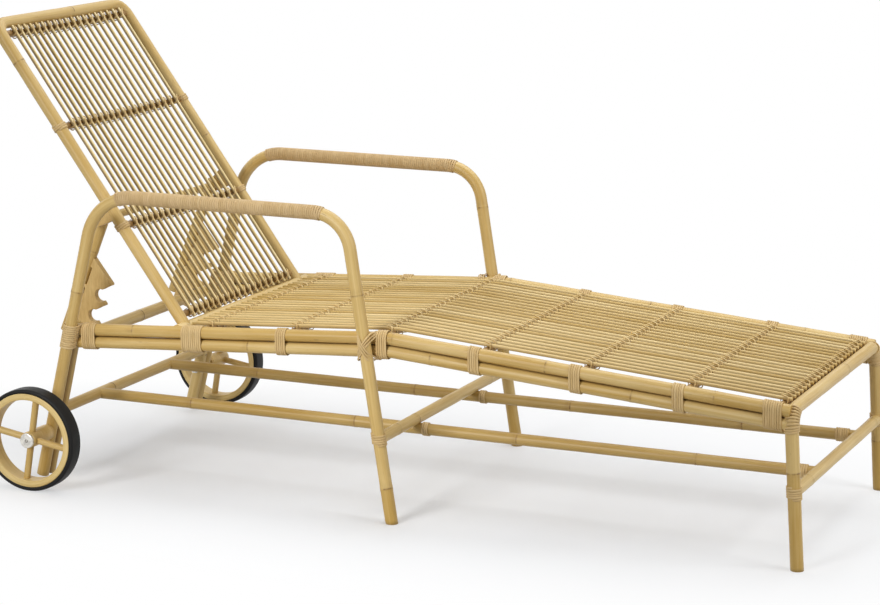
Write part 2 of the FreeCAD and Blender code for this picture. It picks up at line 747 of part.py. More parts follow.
def frame_poles():
    """Poles of the fixed frame, each fitted to what it meets."""
    nodes = {"foot_hoop": foot_hoop()}
    for side, sign in SIDES.items():
        nodes[f"side_hoop_{side}"] = side_hoop(sign)
        nodes[f"rear_leg_inner_{side}"] = rear_leg_inner(sign)
        nodes[f"arm_wrap_{side}"] = arm_wrap(sign)
    fit_side_rails(nodes)
    rear_rail = across(REAR_RAIL_X, REAR_RAIL_Z, RAIL_Y - POLE_R / 2, POLE_D)
    rear = across(rear_leg_x(REAR_STRETCHER_Z), REAR_STRETCHER_Z, RAIL_Y, STRETCHER_D)
    mid = across(mid_leg_x(MID_STRETCHER_Z), MID_STRETCHER_Z, HOOP_Y, STRETCHER_D)
    foot = across(foot_leg_x(FOOT_STRETCHER_Z), FOOT_STRETCHER_Z, RAIL_Y, STRETCHER_D)
    for side, sign in SIDES.items():
        inner = nodes[f"rear_leg_inner_{side}"]
        rear_rail = rear_rail.cut(inner).cut(nodes[f"lower_side_rail_{side}"])
        rear = rear.cut(inner)
        mid = mid.cut(mid_leg_sleeve(sign, WRAP_SPACE))
        foot = foot.cut(foot_leg_sleeve(sign, WRAP_SPACE))
        nodes[f"long_stretcher_{side}"] = largest(long_stretcher(sign).cut(rear).cut(foot))
        mid = mid.cut(nodes[f"long_stretcher_{side}"])
    nodes["rear_cross_rail"] = largest(rear_rail)
    nodes["rear_cross_stretcher"] = largest(rear)
    nodes["mid_cross_stretcher"] = largest(mid)
    nodes["foot_cross_stretcher"] = largest(foot)
    return nodes


def seat_crossbars(rows, nodes):
    bars = []
    for x in rows:
        bar = across(x, seat_z(x), RAIL_Y, CROSSBAR_D)
        for side in SIDES:
            bar = bar.cut(nodes[f"upper_side_rail_{side}"])
        bars.append(largest(bar))
    return group(bars)


def spread(count, pitch):
    """Evenly spaced places about the middle plane."""
    return [(i - (count - 1) / 2) * pitch for i in range(count)]


def rail_lashings(sign, rows):
    """Lashings round both rails, behind each crossbar, at the knee ahead of it, and at the rear leg."""
    plain = winding("rail lashing", POLE_R, RAIL_DROP / 2, RAIL_LASHING_TURNS)
    wide = winding("hinge lashing", POLE_R, RAIL_DROP / 2, HINGE_LASHING_TURNS)
    loose = winding("knee lashing", POLE_R, RAIL_DROP / 2, RAIL_LASHING_TURNS, KNEE_WRAP_GAP)
    beside = CROSSBAR_D / 2 + LASHING_D / 2 + WRAP_GAP
    half_plain = RAIL_LASHING_TURNS * LASHING_PITCH / 2
    half_wide = HINGE_LASHING_TURNS * LASHING_PITCH / 2
    rear_end = rear_leg_x(seat_z(REAR_LEG_FRONT_X)) + POLE_R + WRAP_SPACE + LASHING_D
    spots = [(plain, rear_end + half_plain), (wide, rows[0] - beside - half_wide)]
    for x in rows[1:]:
        if x == KNEE_ROW_X:
            spots.append((loose, x + beside + half_plain))
        else:
            spots.append((plain, x - beside - half_plain))
    turned = 0 if sign < 0 else 180
    lashings = []
    for shape, x in spots:
        facing = placed(shape, FreeCAD.Placement(V(), FreeCAD.Rotation(V(0, 0, 1), turned)))
        middle = V(x, sign * RAIL_Y, seat_z(x) - RAIL_DROP / 2)
        lashings.append(placed(facing, turn_about_y(seat_tilt(x), middle)))
    return group(lashings)


def upright(shape, degrees, place):
    """Stands a winding's X axis along a leg that leans by the given turn about +Y."""
    return placed(shape, turn_about_y(-90 + degrees, place))


def leg_lashings():
    """Lashings round the rear leg pairs, the mid legs and the foot legs."""
    pair = winding("rear leg lashing", POLE_R, (POLE_D + TOUCH_GAP) / 2, LEG_LASHING_TURNS)
    ring_mid = winding("mid leg lashing", POLE_R, 0, LEG_LASHING_TURNS)
    ring_top = winding("foot leg top lashing", POLE_R, 0, FOOT_LASHING_TURNS)
    lashings = []
    half_pair = LEG_LASHING_TURNS * LASHING_PITCH / 2
    half_top = FOOT_LASHING_TURNS * LASHING_PITCH / 2
    front_drop = (POLE_R + WRAP_SPACE) * math.sin(math.radians(REAR_LEG_LEAN_DEG))
    rail_top = seat_z(REAR_LEG_FRONT_X) - RAIL_DROP + POLE_R
    rear_z = rail_top + LASHING_D / 2 + WRAP_GAP + front_drop + half_pair
    top_z = seat_z(FOOT_X) - FOOT_BEND_R - half_top - LASHING_D / 2
    for sign in SIDES.values():
        quarter = FreeCAD.Placement(V(), FreeCAD.Rotation(V(1, 0, 0), sign * 90))
        sideways = placed(pair, quarter)
        middle_y = sign * (RAIL_Y + HOOP_Y) / 2
        lashings.append(upright(sideways, REAR_LEG_LEAN_DEG, V(rear_leg_x(rear_z), middle_y, rear_z)))
        mid_place = V(mid_leg_x(MID_STRETCHER_Z), sign * HOOP_Y, MID_STRETCHER_Z)
        lashings.append(upright(ring_mid, -MID_LEG_LEAN_DEG, mid_place))
        low_place = V(foot_leg_x(FOOT_STRETCHER_Z), sign * RAIL_Y, FOOT_STRETCHER_Z)
        lashings.append(upright(ring_mid, -FOOT_SPLAY_DEG, low_place))
        top_place = V(foot_leg_x(top_z), sign * RAIL_Y, top_z)
        lashings.append(upright(ring_top, -FOOT_SPLAY_DEG, top_place))
    return group(lashings)


def stretcher_lashings():
    """Lashings of the long stretchers at the foot stretcher and ahead of the mid stretcher."""
    long_tie = winding("stretcher end lashing", STRETCHER_D / 2, 0, FOOT_LASHING_TURNS)
    short_tie = winding("stretcher mid lashing", STRETCHER_D / 2, 0, TIE_LASHING_TURNS)
    beside = STRETCHER_D / 2 + LASHING_D
    foot_x = foot_leg_x(FOOT_STRETCHER_Z) - beside - FOOT_LASHING_TURNS * LASHING_PITCH / 2
    mid_x = mid_leg_x(MID_STRETCHER_Z) + beside + TIE_LASHING_TURNS * LASHING_PITCH / 2
    lashings = []
    for sign in SIDES.values():
        y = sign * LONG_STRETCHER_Y
        lashings.append(placed(long_tie, turn_about_y(0, V(foot_x, y, LONG_STRETCHER_Z))))
        lashings.append(placed(short_tie, turn_about_y(0, V(mid_x, y, LONG_STRETCHER_Z))))
    return group(lashings)


def seat_nodes(nodes):
    """Crossbars, slats, lacing and lashings of the seat."""
    rows = seat_rows()
    nodes["seat_crossbars"] = seat_crossbars(rows, nodes)
    nodes["seat_slats"] = group([seat_slat(y) for y in spread(SEAT_SLATS, SEAT_SLAT_PITCH)])
    row = lacing_row("seat lacing", SEAT_SLATS, SEAT_SLAT_PITCH)
    places = [turn_about_y(seat_tilt(x), V(x, 0, seat_z(x))) for x in rows]
    nodes["seat_lacing"] = group([placed(row, place) for place in places])
    for side, sign in SIDES.items():
        nodes[f"rail_lashings_{side}"] = rail_lashings(sign, rows)
    nodes["leg_lashings"] = leg_lashings()
    nodes["stretcher_lashings"] = stretcher_lashings()
    return rows


def back_nodes(nodes):
    """Backrest in its flat frame, raised to its angle at the end."""
    bottom = across(0, 0, RAIL_Y - POLE_R - HINGE_END_GAP, POLE_D)
    hoop = back_hoop()
    wraps = []
    bars = []
    tie = winding("stile lashing", POLE_R, 0, TIE_LASHING_TURNS)
    for distance in back_rows():
        if distance in (BACK_ROW_LOW, BACK_ROW_MID):
            bars.append(back_crossbar(distance, BACK_Y - POLE_R - WRAP_SPACE))
            for sign in SIDES.values():
                place = V(-distance, sign * BACK_Y, 0)
                wraps.append(placed(tie, turn_about_y(0, place)))
        else:
            bars.append(largest(back_crossbar(distance, BACK_Y).cut(hoop)))
    row = lacing_row("back lacing", BACK_SLATS, BACK_SLAT_PITCH, BACK_BOW)
    flat = {
        "back_hoop": largest(hoop.cut(bottom)),
        "back_bottom_rail": bottom,
        "back_crossbars": group(bars),
        "back_slats": group([back_slat(y) for y in spread(BACK_SLATS, BACK_SLAT_PITCH)]),
        "back_lacing": group([placed(row, turn_about_y(0, V(-d, 0, 0))) for d in back_rows()]),
        "back_lashings": group(wraps),
        "prop_lugs": group([prop_lug(sign) for sign in SIDES.values()]),
    }
    for name, shape in flat.items():
        nodes[name] = on_back(shape)
    pins = [hinge_pin(sign) for sign in SIDES.values()]
    for pin in pins:
        nodes["back_bottom_rail"] = nodes["back_bottom_rail"].cut(pin)
    nodes["hinge_pins"] = group(pins)


def prop_nodes(nodes):
    placement = prop_frame()[0]
    pole = placed(prop_pole(), placement)
    board = placed(prop_board(), placement)
    for side, sign in SIDES.items():
        beside = turn_about_y(0, V(0, sign * PROP_Y, 0))
        nodes[f"prop_pole_{side}"] = placed(pole, beside)
        nodes[f"prop_board_{side}"] = placed(board, beside)
    nodes["prop_bar"] = on_back(prop_bar())


def wheel_nodes(nodes):
    """Wheels, and the axles that the rear legs are bored for."""
    washers = []
    nuts = []
    for side, sign in SIDES.items():
        bolt = axle(sign)
        nodes[f"axle_{side}"] = bolt
        for pole in (f"side_hoop_{side}", f"rear_leg_inner_{side}"):
            nodes[pole] = nodes[pole].cut(bolt)
        washers.append(axle_washer(sign))
        nuts.append(axle_nut(sign))
        nodes[f"tyre_{side}"] = tyre(sign)
        nodes[f"wheel_rim_{side}"] = wheel_rim(sign)
        nodes[f"wheel_spokes_{side}"] = wheel_spokes(sign)
        nodes[f"wheel_hub_{side}"] = wheel_hub(sign)
        nodes[f"wheel_bush_{side}"] = wheel_bush(sign)
    nodes["axle_washers"] = group(washers)
    nodes["axle_nuts"] = group(nuts)


def dowel_nodes(nodes, rows):
    """Adds the hidden dowels and bores the pieces that they join."""
    dowels = joint_dowels(rows)
    for dowel, pieces in dowels:
        for name in pieces:
            nodes[name] = nodes[name].cut(dowel)
    nodes["joint_dowels"] = group([dowel for dowel, pieces in dowels])


def build():
    nodes = frame_poles()
    rows = seat_nodes(nodes)
    back_nodes(nodes)
    prop_nodes(nodes)
    wheel_nodes(nodes)
    dowel_nodes(nodes, rows)
    return nodes


def main():
    os.makedirs("parts", exist_ok=True)
    nodes = build()
    for name, shape in nodes.items():
        shape.exportStep(f"parts/{name}.step")
    box = Part.makeCompound(list(nodes.values())).BoundBox
    print(f"{len(nodes)} nodes, x {box.XMin:.1f} to {box.XMax:.1f}, y {box.YMin:.1f} to {box.YMax:.1f}, "
          f"z {box.ZMin:.1f} to {box.ZMax:.1f}")
    print(f"hinge x {HINGE_X:.2f} z {HINGE_Z:.2f}, rear rail x {REAR_RAIL_X:.2f}, axle x {AXLE_X:.2f}")
    pivot = turn_about_y(BACK_ANGLE_DEG, V(HINGE_X, 0, HINGE_Z)).multVec(prop_pivot())
    print(f"prop pivot x {pivot.x:.2f} z {pivot.z:.2f}")


main()
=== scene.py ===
"""Looks of the rattan sun lounger: poles with node rings, slats, cane lashings and lacing, wheels, studio.

Metres, in the part's own frame: +X towards the foot end, +Y towards the sitter's left, +Z up.
"""
import math
import random

import bpy
import numpy as np
from mathutils import Color, Matrix, Vector
from mathutils.geometry import convex_hull_2d


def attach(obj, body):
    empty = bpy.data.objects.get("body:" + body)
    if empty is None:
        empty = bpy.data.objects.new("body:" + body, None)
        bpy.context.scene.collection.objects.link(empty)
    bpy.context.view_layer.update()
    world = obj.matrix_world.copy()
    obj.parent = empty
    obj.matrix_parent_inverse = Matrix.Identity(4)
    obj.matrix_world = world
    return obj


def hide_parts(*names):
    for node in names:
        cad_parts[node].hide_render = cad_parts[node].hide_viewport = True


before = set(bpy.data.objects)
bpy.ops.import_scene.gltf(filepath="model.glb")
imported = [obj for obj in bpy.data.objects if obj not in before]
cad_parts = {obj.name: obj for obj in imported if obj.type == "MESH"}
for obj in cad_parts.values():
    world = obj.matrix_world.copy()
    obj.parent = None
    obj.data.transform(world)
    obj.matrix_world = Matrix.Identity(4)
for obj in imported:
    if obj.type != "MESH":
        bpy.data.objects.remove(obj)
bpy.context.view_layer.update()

# Number, name and sign of Y of each side
SIDES = ((0, "right", -1), (1, "left", 1))
X_AXIS = Vector((1, 0, 0))
Y_AXIS = Vector((0, 1, 0))
UP = Vector((0, 0, 1))

# Pole and rod radii
POLE_R = 0.0135
STRETCHER_R = 0.0125
CROSSBAR_R = 0.008
SLAT_R = 0.004
PROP_POLE_R = 0.012

# Form of a rattan pole: size, waves and ovalness as shares of its radius, with their radians a metre
TRUE_SIZE = 0.988
WAVES = ((0.010, 19), (0.007, 47))
OVAL = (0.008, 5)
PHASES = (0, 6.28)
GRAIN_SHIFTS = (-9, 9)
ROD_STEP = 0.03
END_BEVEL = 0.0008
END_INSET = 0.0007
FLOOR_SINK = 0.004

# Node rings: a raised band with a groove and a dark line in it, and a stain beside it
RING_SWELL = 0.05
RING_WIDTH = 0.0042
GROOVE_SHARE = 0.9
GROOVE_WIDTH = 0.0010
RING_LINE = 0.0018
STAIN_DEPTH = 0.20
STAIN_WIDTH = 0.006
RING_STEP = 0.0011
RING_STEPS = 7
RING_MARGIN = 0.001
FIRST_RING = (0.08, 0.30)
RING_SPACING = (0.30, 0.52)
LAST_RING = 0.03

# Tones, which make a look paler or deeper, and painted shade: how squarely a side must face a direction to be
# painted dark, and the depth
POLE_TONES = (-0.35, 0.35)
STRETCH_TONES = (-0.16, 0.16)
SLAT_TONES = (-0.9, 0.7)
CUT_TONE = -0.3
CUT_RING = 0.22
PAINTED_SHADE_FULL = 0.96
RAIL_PAINTED_SHADE = (0.80, 0.75)
LEG_PAINTED_SHADE = (0.35, 0.9)
SEAT_SLAT_PAINTED_SHADE = (0.55, 0.45)
BACK_SLAT_PAINTED_SHADE = (0.55, 0.75)

# Seat rails, knee and foot end
RAIL_Y = 0.325
RAIL_DROP = 0.0274
RAIL_CLOSE = 0.0268
KNEE_X = 0.0412
KNEE_Z = 0.3871
KNEE_BEND_R = 0.250
REAR_RISE = math.radians(3.66)
FRONT_FALL = math.radians(4.47)
FOOT_X = 0.9023
FOOT_SPLAY = math.tan(math.radians(3.94))
FOOT_BEND_R = 0.032

# Side hoops
HOOP_Y = 0.3522
ARM_Z = 0.644
REAR_LEG_X = -0.785
REAR_LEAN = math.tan(math.radians(13.2))
REAR_LEG_CLEAR = 0.012
REAR_BEND_R = 0.115
MID_LEG_X = 0.0612
MID_LEAN = math.tan(math.radians(9.4))
FRONT_BEND_R = 0.085

# Cross rails and stretchers
REAR_RAIL_Z = 0.310
REAR_RAIL_BACK = 0.0095
REAR_RAIL_HALF = RAIL_Y - 0.6 * POLE_R
REAR_RAIL_X = REAR_LEG_X + REAR_RAIL_Z * REAR_LEAN - REAR_RAIL_BACK
REAR_LEG_FRONT_X = REAR_LEG_X + REAR_RAIL_Z * REAR_LEAN + POLE_R
REAR_STRETCHER_Z = 0.157
MID_STRETCHER_Z = 0.178
FOOT_STRETCHER_Z = 0.157
LONG_STRETCHER_Z = 0.157
LONG_STRETCHER_Y = 0.160

# Slats and the rows of crossbars under them
SLAT_LIFT = CROSSBAR_R + SLAT_R
SEAT_SLATS = 23
SEAT_SLAT_PITCH = 0.0255
SEAT_SLAT_START = 0.0215
SLAT_END = 0.0115
BACK_SLAT_END = 0.0141
HINGE_X = -0.4625
SEAT_ROWS = (-0.3975, -0.196, 0.024, 0.244, 0.464, 0.684, 0.8753)

# Lashings: those of the side rails as (station, turns), the knee's one looser, then the others
RAIL_LASHINGS = ((-0.415, 10), (-0.2025, 5), (0.031, 5), (0.2365, 5), (0.456, 5), (0.6745, 5), (0.8685, 8))
REAR_LASHING_TURNS = 7
REAR_LEG_TURNS = 11
KNEE_REACH = 0.03
KNEE_SPARE = 0.0012
REAR_LASHING_GAP = 0.0072
REAR_LEG_LIFT = 0.003
LEG_TURNS = 5
STILE_TURNS = 3
FOOT_TIE_TURNS = 6
MID_TIE_TURNS = 3
TIE_GAP = 0.0042
CORNER_TURNS = 2
CORNER_REACH = 0.6

# Backrest
BACK_ANGLE = math.radians(53.9)
BACK_LENGTH = 0.784
BACK_Y = 0.272
BACK_BEND_R = 0.032
BACK_SLATS = 19
BACK_SLAT_PITCH = 0.0256
BACK_ROWS = (0.030, 0.260, 0.516, BACK_LENGTH - 0.027)
BACK_TIES = BACK_ROWS[1:3]
BACK_BOW = 0.0105
BACK_BOW_R = (BACK_Y ** 2 + BACK_BOW ** 2) / (2 * BACK_BOW)
BOW_FIT = 0.998
BACK_END_GAP = 0.0006

# Prop
PROP_ALONG = 0.303
PROP_BEHIND = 0.0434
PROP_GAP = 0.002
PROP_Y = BACK_Y - POLE_R - PROP_GAP - PROP_POLE_R
PROP_OFFSET = 0.0526
PROP_POLE_LEAN = 0.004
PROP_HEAD = 0.016
PROP_TAIL = 0.016
PROP_BAR_R = 0.009
PROP_BAR_HALF = BACK_Y + 0.0165

# Wheels; the cap's screw has an inner and outer radius, a half width and a rounding
WHEEL_R = 0.113
WHEEL_Y = 0.432
TYRE_T = 0.009
TYRE_W = 0.038
TYRE_ROUND = 0.005
TYRE_CROWN = 0.0004
RIM_T = 0.0145
RIM_W = 0.040
RIM_ROUND = 0.003
HUB_R = 0.018
HUB_L = 0.076
HUB_Y = 0.410
HUB_ROUND = 0.002
BUSH_R = 0.009
SPOKES = 4
SPOKE_R = 0.0075
SPOKE_SINK = 0.003
SPOKE_TURN = math.radians(9)
CAP_FACE_Y = 0.4533
CAP_SCREW = (0.0012, 0.0040, 0.0012, 0.0010)
TURNED_GRAIN = 0.1

# Cane strands: half width and half thickness, then pitches, gaps, steps and tones
LASHING_HALF = (0.0024, 0.0012)
ARM_HALF = (0.0024, 0.0009)
LACING_HALF = (0.0022, 0.0008)
CROSS_HALF = (0.0021, 0.0010)
LASHING_PITCH = 0.00485
ARM_PITCH = 0.0050
ARM_WRAP_START = 0.038
ARM_WRAP_END = 0.020
# Tone of each arm's winding; the far, left one is made deeper as painted shade
ARM_TONES = {"right": 0.0, "left": -0.7}
CROSS_TILT = math.radians(57)
CROSS_PITCH = 2.05 * CROSS_HALF[0]
CROSS_MARGIN = 1.1
CROSS_TONES = (0.25, 0.1)
LACING_GAP = 0.0004
LACING_TOP_GAP = 0.0002
LACING_BEND = 0.0042
LACING_STEPS = 5
LACING_TONES = (-0.6, 0.6)
WIND_STEPS = 9
WIND_SHIFTS = (-0.00022, 0.00022)
WIND_TONES = (-0.5, 0.5)
COIL_STEPS = 18
COIL_TONES = (-0.3, 0.3)
STRAND_POWER = 0.8
STRAND_SHIFT = (7.3, 3.1)
TUCK_SHARE = 2.2
TUCK_LENGTH = 0.012
SEAT_GAP = 0.0001

# Places of the clearest node rings: heights on the legs, stations on the rails and long stretchers, Y on the
# end rail, lengths along the inner rear leg, mid stretcher and prop, and (length, Y) on the back
MID_LEG_RINGS = {"right": (0.478, 0.075), "left": (0.553, 0.110)}
REAR_LEG_RINGS = {"right": 0.43, "left": 0.48}
INNER_LEG_RINGS = (0.14,)
FOOT_LEG_RINGS = (0.197, 0.110)
END_RAIL_RING = 0.07
UPPER_RAIL_RINGS = (-0.56, 0.054, 0.391, 0.747)
LOWER_RAIL_RINGS = (-0.281, 0.138, 0.575)
LONG_STRETCHER_RINGS = (-0.5095, -0.11, 0.266, 0.661)
MID_STRETCHER_RINGS = (0.088, 0.186, 0.592)
BACK_HOOP_RINGS = ((0.316, -BACK_Y), (0.684, -BACK_Y), (BACK_LENGTH, 0.04), (0.41, BACK_Y))
PROP_RINGS = (0.2,)

# Camera of the photograph, 880 by 605 pixels
IMAGE_WIDTH = 880
SENSOR_WIDTH = 36.0
FOCAL_PIXELS = 2680.6
PRINCIPAL_OFFSET = (13.0, -9.5)
CAMERA_PLACE = Vector((2.2785, -5.2528, 1.5766))
CAMERA_YAW = math.radians(23.0156)
CAMERA_PITCH = math.radians(11.4232)
CAMERA_ROLL = math.radians(-0.3231)

# Soft lights, as place, target, size, power and spread, and the floor
LIGHTS = {
    "key": ((-1.0, -3.8, 1.7), (-0.1, 0, 0.06), 1.6, 8.6, math.radians(44)),
    "top": ((0.1, 1.2, 3.7), (0.05, 0, 0.2), 3.2, 84, math.pi),
    "foot_side": ((4.4, -0.4, 2.3), (0, 0, 0.4), 2.2, 78, math.pi),
    "head_side": ((-3.6, 2.4, 2.0), (0, 0, 0.5), 2.2, 14, math.pi),
}
WORLD_LIGHT = 0.30
FLOOR_BOUNCE = (0.50, 0.50, 0.50, 1)
FLOOR_COLOUR = (0.90, 0.92, 0.95, 1)
FLOOR_OVAL = (1.0, 1.8, 0.0)
FLOOR_FADE = (0.75, 1.5)
FLOOR_GLOW = (0.10, 1.0)
WHITE = (1, 1, 1, 1)


def srgb(*levels):
    """Linear colour from 8-bit sRGB values."""
    return (*Color([level / 255 for level in levels]).from_srgb_to_scene_linear(), 1.0)


# Node materials

NOISE_SPAN = (0.3, 0.7)
# Browns of node rings, flecks and cut ends, also used as the painted shade on the darkened sides of poles and
# slats
RING_AND_SHADE_BROWN = srgb(112, 76, 36)
SLAT_MARK_AND_SHADE = srgb(118, 86, 36)


class Shader:
    """Nodes of a material or the world, under construction."""

    def __init__(self, owner):
        owner.use_nodes = True
        self.owner = owner
        self.tree = owner.node_tree
        self.tree.nodes.clear()

    def add(self, kind, settings=None, out=0, **inputs):
        """Adds a node, its inputs by name (_ for a space) or by i and a number, and gives an output."""
        node = self.tree.nodes.new(kind)
        for name, value in (settings or {}).items():
            setattr(node, name, value)
        for name, value in inputs.items():
            numbered = name[0] == "i" and name[1:].isdigit()
            socket = node.inputs[int(name[1:]) if numbered else name.replace("_", " ")]
            if isinstance(value, bpy.types.NodeSocket):
                self.tree.links.new(value, socket)
            else:
                socket.default_value = value
        return node.outputs[out] if node.outputs else None

    def attribute(self, name, out="Fac"):
        return self.add("ShaderNodeAttribute", {"attribute_name": name}, out)

    def here(self):
        """Place in the object's own space."""
        return self.add("ShaderNodeTexCoord", out="Object")

    def scaled(self, vector, scale):
        return self.add("ShaderNodeMapping", Vector=vector, Scale=scale)

    def noise(self, vector, scale, detail, roughness=0.55):
        """Noise with a number of spots a metre along each axis."""
        spot = self.scaled(vector, scale)
        return self.add("ShaderNodeTexNoise", Vector=spot, Scale=1.0, Detail=detail, Roughness=roughness)

    def math(self, operation, a, b):
        return self.add("ShaderNodeMath", {"operation": operation}, i0=a, i1=b)

    def weighted(self, *terms):
        """Sum of (value, weight) terms."""
        total = self.math("MULTIPLY", *terms[0])
        for value, weight in terms[1:]:
            total = self.math("ADD", total, self.math("MULTIPLY", value, weight))
        return total

    def remap(self, value, low, high, to_low=0.0, to_high=1.0):
        return self.add("ShaderNodeMapRange", i0=value, i1=low, i2=high, i3=to_low, i4=to_high)

    def mix(self, factor, a, b):
        return self.add("ShaderNodeMix", {"data_type": "RGBA"}, out=2, i0=factor, i6=a, i7=b)

    def bump(self, height, distance, strength):
        return self.add("ShaderNodeBump", Height=height, Distance=distance, Strength=strength)

    def seen(self):
        """1 for the rays that show the surroundings: straight, in gloss and through glass."""
        straight, gloss, glass = [self.add("ShaderNodeLightPath", out=f"Is {kind} Ray")
                                  for kind in ("Camera", "Glossy", "Transmission")]
        return self.math("MAXIMUM", self.math("MAXIMUM", straight, gloss), glass)

    def finish(self, colour, rough, **inputs):
        surface = self.add("ShaderNodeBsdfPrincipled", Base_Color=colour, Roughness=rough, **inputs)
        self.add("ShaderNodeOutputMaterial", Surface=surface)
        return self.owner


def new_look(name):
    return Shader(bpy.data.materials.new(name))


def rattan(name, pale, deep, mark_and_shade=RING_AND_SHADE_BROWN, gloss=0.0):
    """Peeled rattan: fibres along the pole, blotches, a tone per rod, broken node rings, and painted shade on
    the sides given by the seam attribute.
    """
    s = new_look(name)
    grain = s.attribute("grain", "Vector")
    fibre = s.noise(grain, (520, 520, 9), 5, 0.65)
    streak = s.noise(grain, (150, 150, 2.5), 3)
    blotch = s.noise(grain, (22, 22, 5), 3)
    shade = s.weighted(
        (s.remap(fibre, *NOISE_SPAN), 0.22),
        (s.remap(streak, 0.28, 0.72), 0.32),
        (s.remap(blotch, *NOISE_SPAN), 0.30),
        (s.attribute("tone"), 0.32),
    )
    colour = s.mix(s.remap(shade, 0.10, 0.86), deep, pale)
    flecks = s.noise(grain, (340, 340, 42), 2, 0.5)
    colour = s.mix(s.remap(flecks, 0.70, 0.78, 0.0, 0.40), colour, mark_and_shade)
    broken = s.noise(grain, (85, 85, 40), 2)
    line = s.math("MULTIPLY", s.attribute("ring"), s.remap(broken, 0.40, 0.62, 0.10, 0.85))
    colour = s.mix(line, colour, mark_and_shade)
    # Painted shade: sides marked in the seam attribute are darkened towards the mark colour
    colour = s.mix(s.attribute("seam"), colour, mark_and_shade)
    rough = s.remap(fibre, *NOISE_SPAN, 0.50 - gloss, 0.40 - gloss)
    return s.finish(colour, rough, Normal=s.bump(fibre, 0.0004, 0.5), Specular_IOR_Level=0.40)


def cane(name, pale, deep):
    """Split cane strand: fine lengthwise fibres and turn-to-turn differences."""
    s = new_look(name)
    grain = s.attribute("grain", "Vector")
    fibre = s.noise(grain, (1500, 1500, 26), 4, 0.6)
    along = s.noise(grain, (60, 60, 18), 2)
    shade = s.weighted(
        (s.remap(fibre, *NOISE_SPAN), 0.30),
        (s.remap(along, *NOISE_SPAN), 0.45),
        (s.attribute("tone"), 0.25),
    )
    colour = s.mix(s.remap(shade, 0.05, 0.85), deep, pale)
    colour = s.mix(s.math("MULTIPLY", s.attribute("ring"), 0.6), colour, RING_AND_SHADE_BROWN)
    rough = s.remap(fibre, *NOISE_SPAN, 0.62, 0.50)
    return s.finish(colour, rough, Normal=s.bump(fibre, 0.0003, 0.6), Specular_IOR_Level=0.35)


def turned_wood(name, pale, deep):
    """Plain wood for solid blocks: fibres up the block and soft blotches."""
    s = new_look(name)
    spot = s.here()
    fibre = s.noise(spot, (260, 260, 40), 5, 0.65)
    blotch = s.noise(spot, (18, 18, 18), 3)
    shade = s.weighted((s.remap(fibre, *NOISE_SPAN), 0.6), (s.remap(blotch, *NOISE_SPAN), 0.4))
    rough = s.remap(fibre, *NOISE_SPAN, 0.55, 0.45)
    normal = s.bump(fibre, 0.0004, 0.5)
    return s.finish(s.mix(shade, deep, pale), rough, Normal=normal, Specular_IOR_Level=0.4)


def brushed_metal(name, colour, dark):
    s = new_look(name)
    spot = s.here()
    brush = s.noise(spot, (900, 60, 900), 4, 0.7)
    cloud = s.noise(spot, (120, 120, 120), 3)
    tint = s.mix(s.remap(cloud, 0.35, 0.75), colour, dark)
    rough = s.remap(brush, *NOISE_SPAN, 0.42, 0.30)
    return s.finish(tint, rough, Metallic=1.0, Normal=s.bump(brush, 0.0002, 0.4))


def rubber(name):
    s = new_look(name)
    spot = s.here()
    pore = s.noise(spot, (700, 700, 700), 3)
    dust = s.noise(spot, (28, 28, 28), 4)
    colour = s.mix(s.remap(dust, 0.45, 0.8, 0.0, 0.55), srgb(9, 8, 7), srgb(28, 26, 23))
    rough = s.remap(dust, *NOISE_SPAN, 0.46, 0.62)
    return s.finish(colour, rough, Normal=s.bump(pore, 0.0002, 0.35), Specular_IOR_Level=0.22)


def plastic(name):
    s = new_look(name)
    mottle = s.noise(s.here(), (240, 240, 240), 3)
    colour = s.mix(mottle, srgb(196, 192, 180), srgb(222, 219, 208))
    return s.finish(colour, s.remap(mottle, *NOISE_SPAN, 0.42, 0.55))


MATERIALS = {
    "pole": rattan("pole_rattan_look", srgb(226, 200, 140), srgb(188, 152, 78), gloss=0.04),
    # Deeper copy of the pole look: painted shade for the long stretchers under the seat
    "deep": rattan("painted_shade_rattan_look", srgb(202, 173, 110), srgb(164, 129, 56), gloss=0.04),
    # Crossbars in dark brown: painted shade for where they lie under the slats and lacing
    "bar": rattan("crossbar_painted_shade_look", srgb(176, 141, 86), srgb(126, 92, 46)),
    "slat": rattan("slat_rattan_look", srgb(238, 214, 156), srgb(196, 163, 90), SLAT_MARK_AND_SHADE),
    # Back slats in a paler copy of the slat look: painted highlight
    "back_slat_painted_light": rattan("back_slat_painted_light_look", srgb(252, 235, 184), srgb(220, 192, 122), SLAT_MARK_AND_SHADE),
    "cane": cane("cane_look", srgb(224, 197, 146), srgb(194, 162, 106)),
    "lace": cane("lacing_look", srgb(226, 201, 146), srgb(194, 162, 104)),
    "arm": cane("arm_cane_look", srgb(222, 195, 148), srgb(196, 164, 114)),
    "wood": turned_wood("wood_look", srgb(216, 186, 124), srgb(184, 148, 84)),
    "steel": brushed_metal("steel_look", srgb(222, 219, 212), srgb(176, 172, 164)),
    "screw": brushed_metal("screw_look", srgb(150, 146, 138), srgb(96, 92, 86)),
    "rubber": rubber("tyre_look"),
    "plastic": plastic("bush_look"),
}


# Paths and meshes


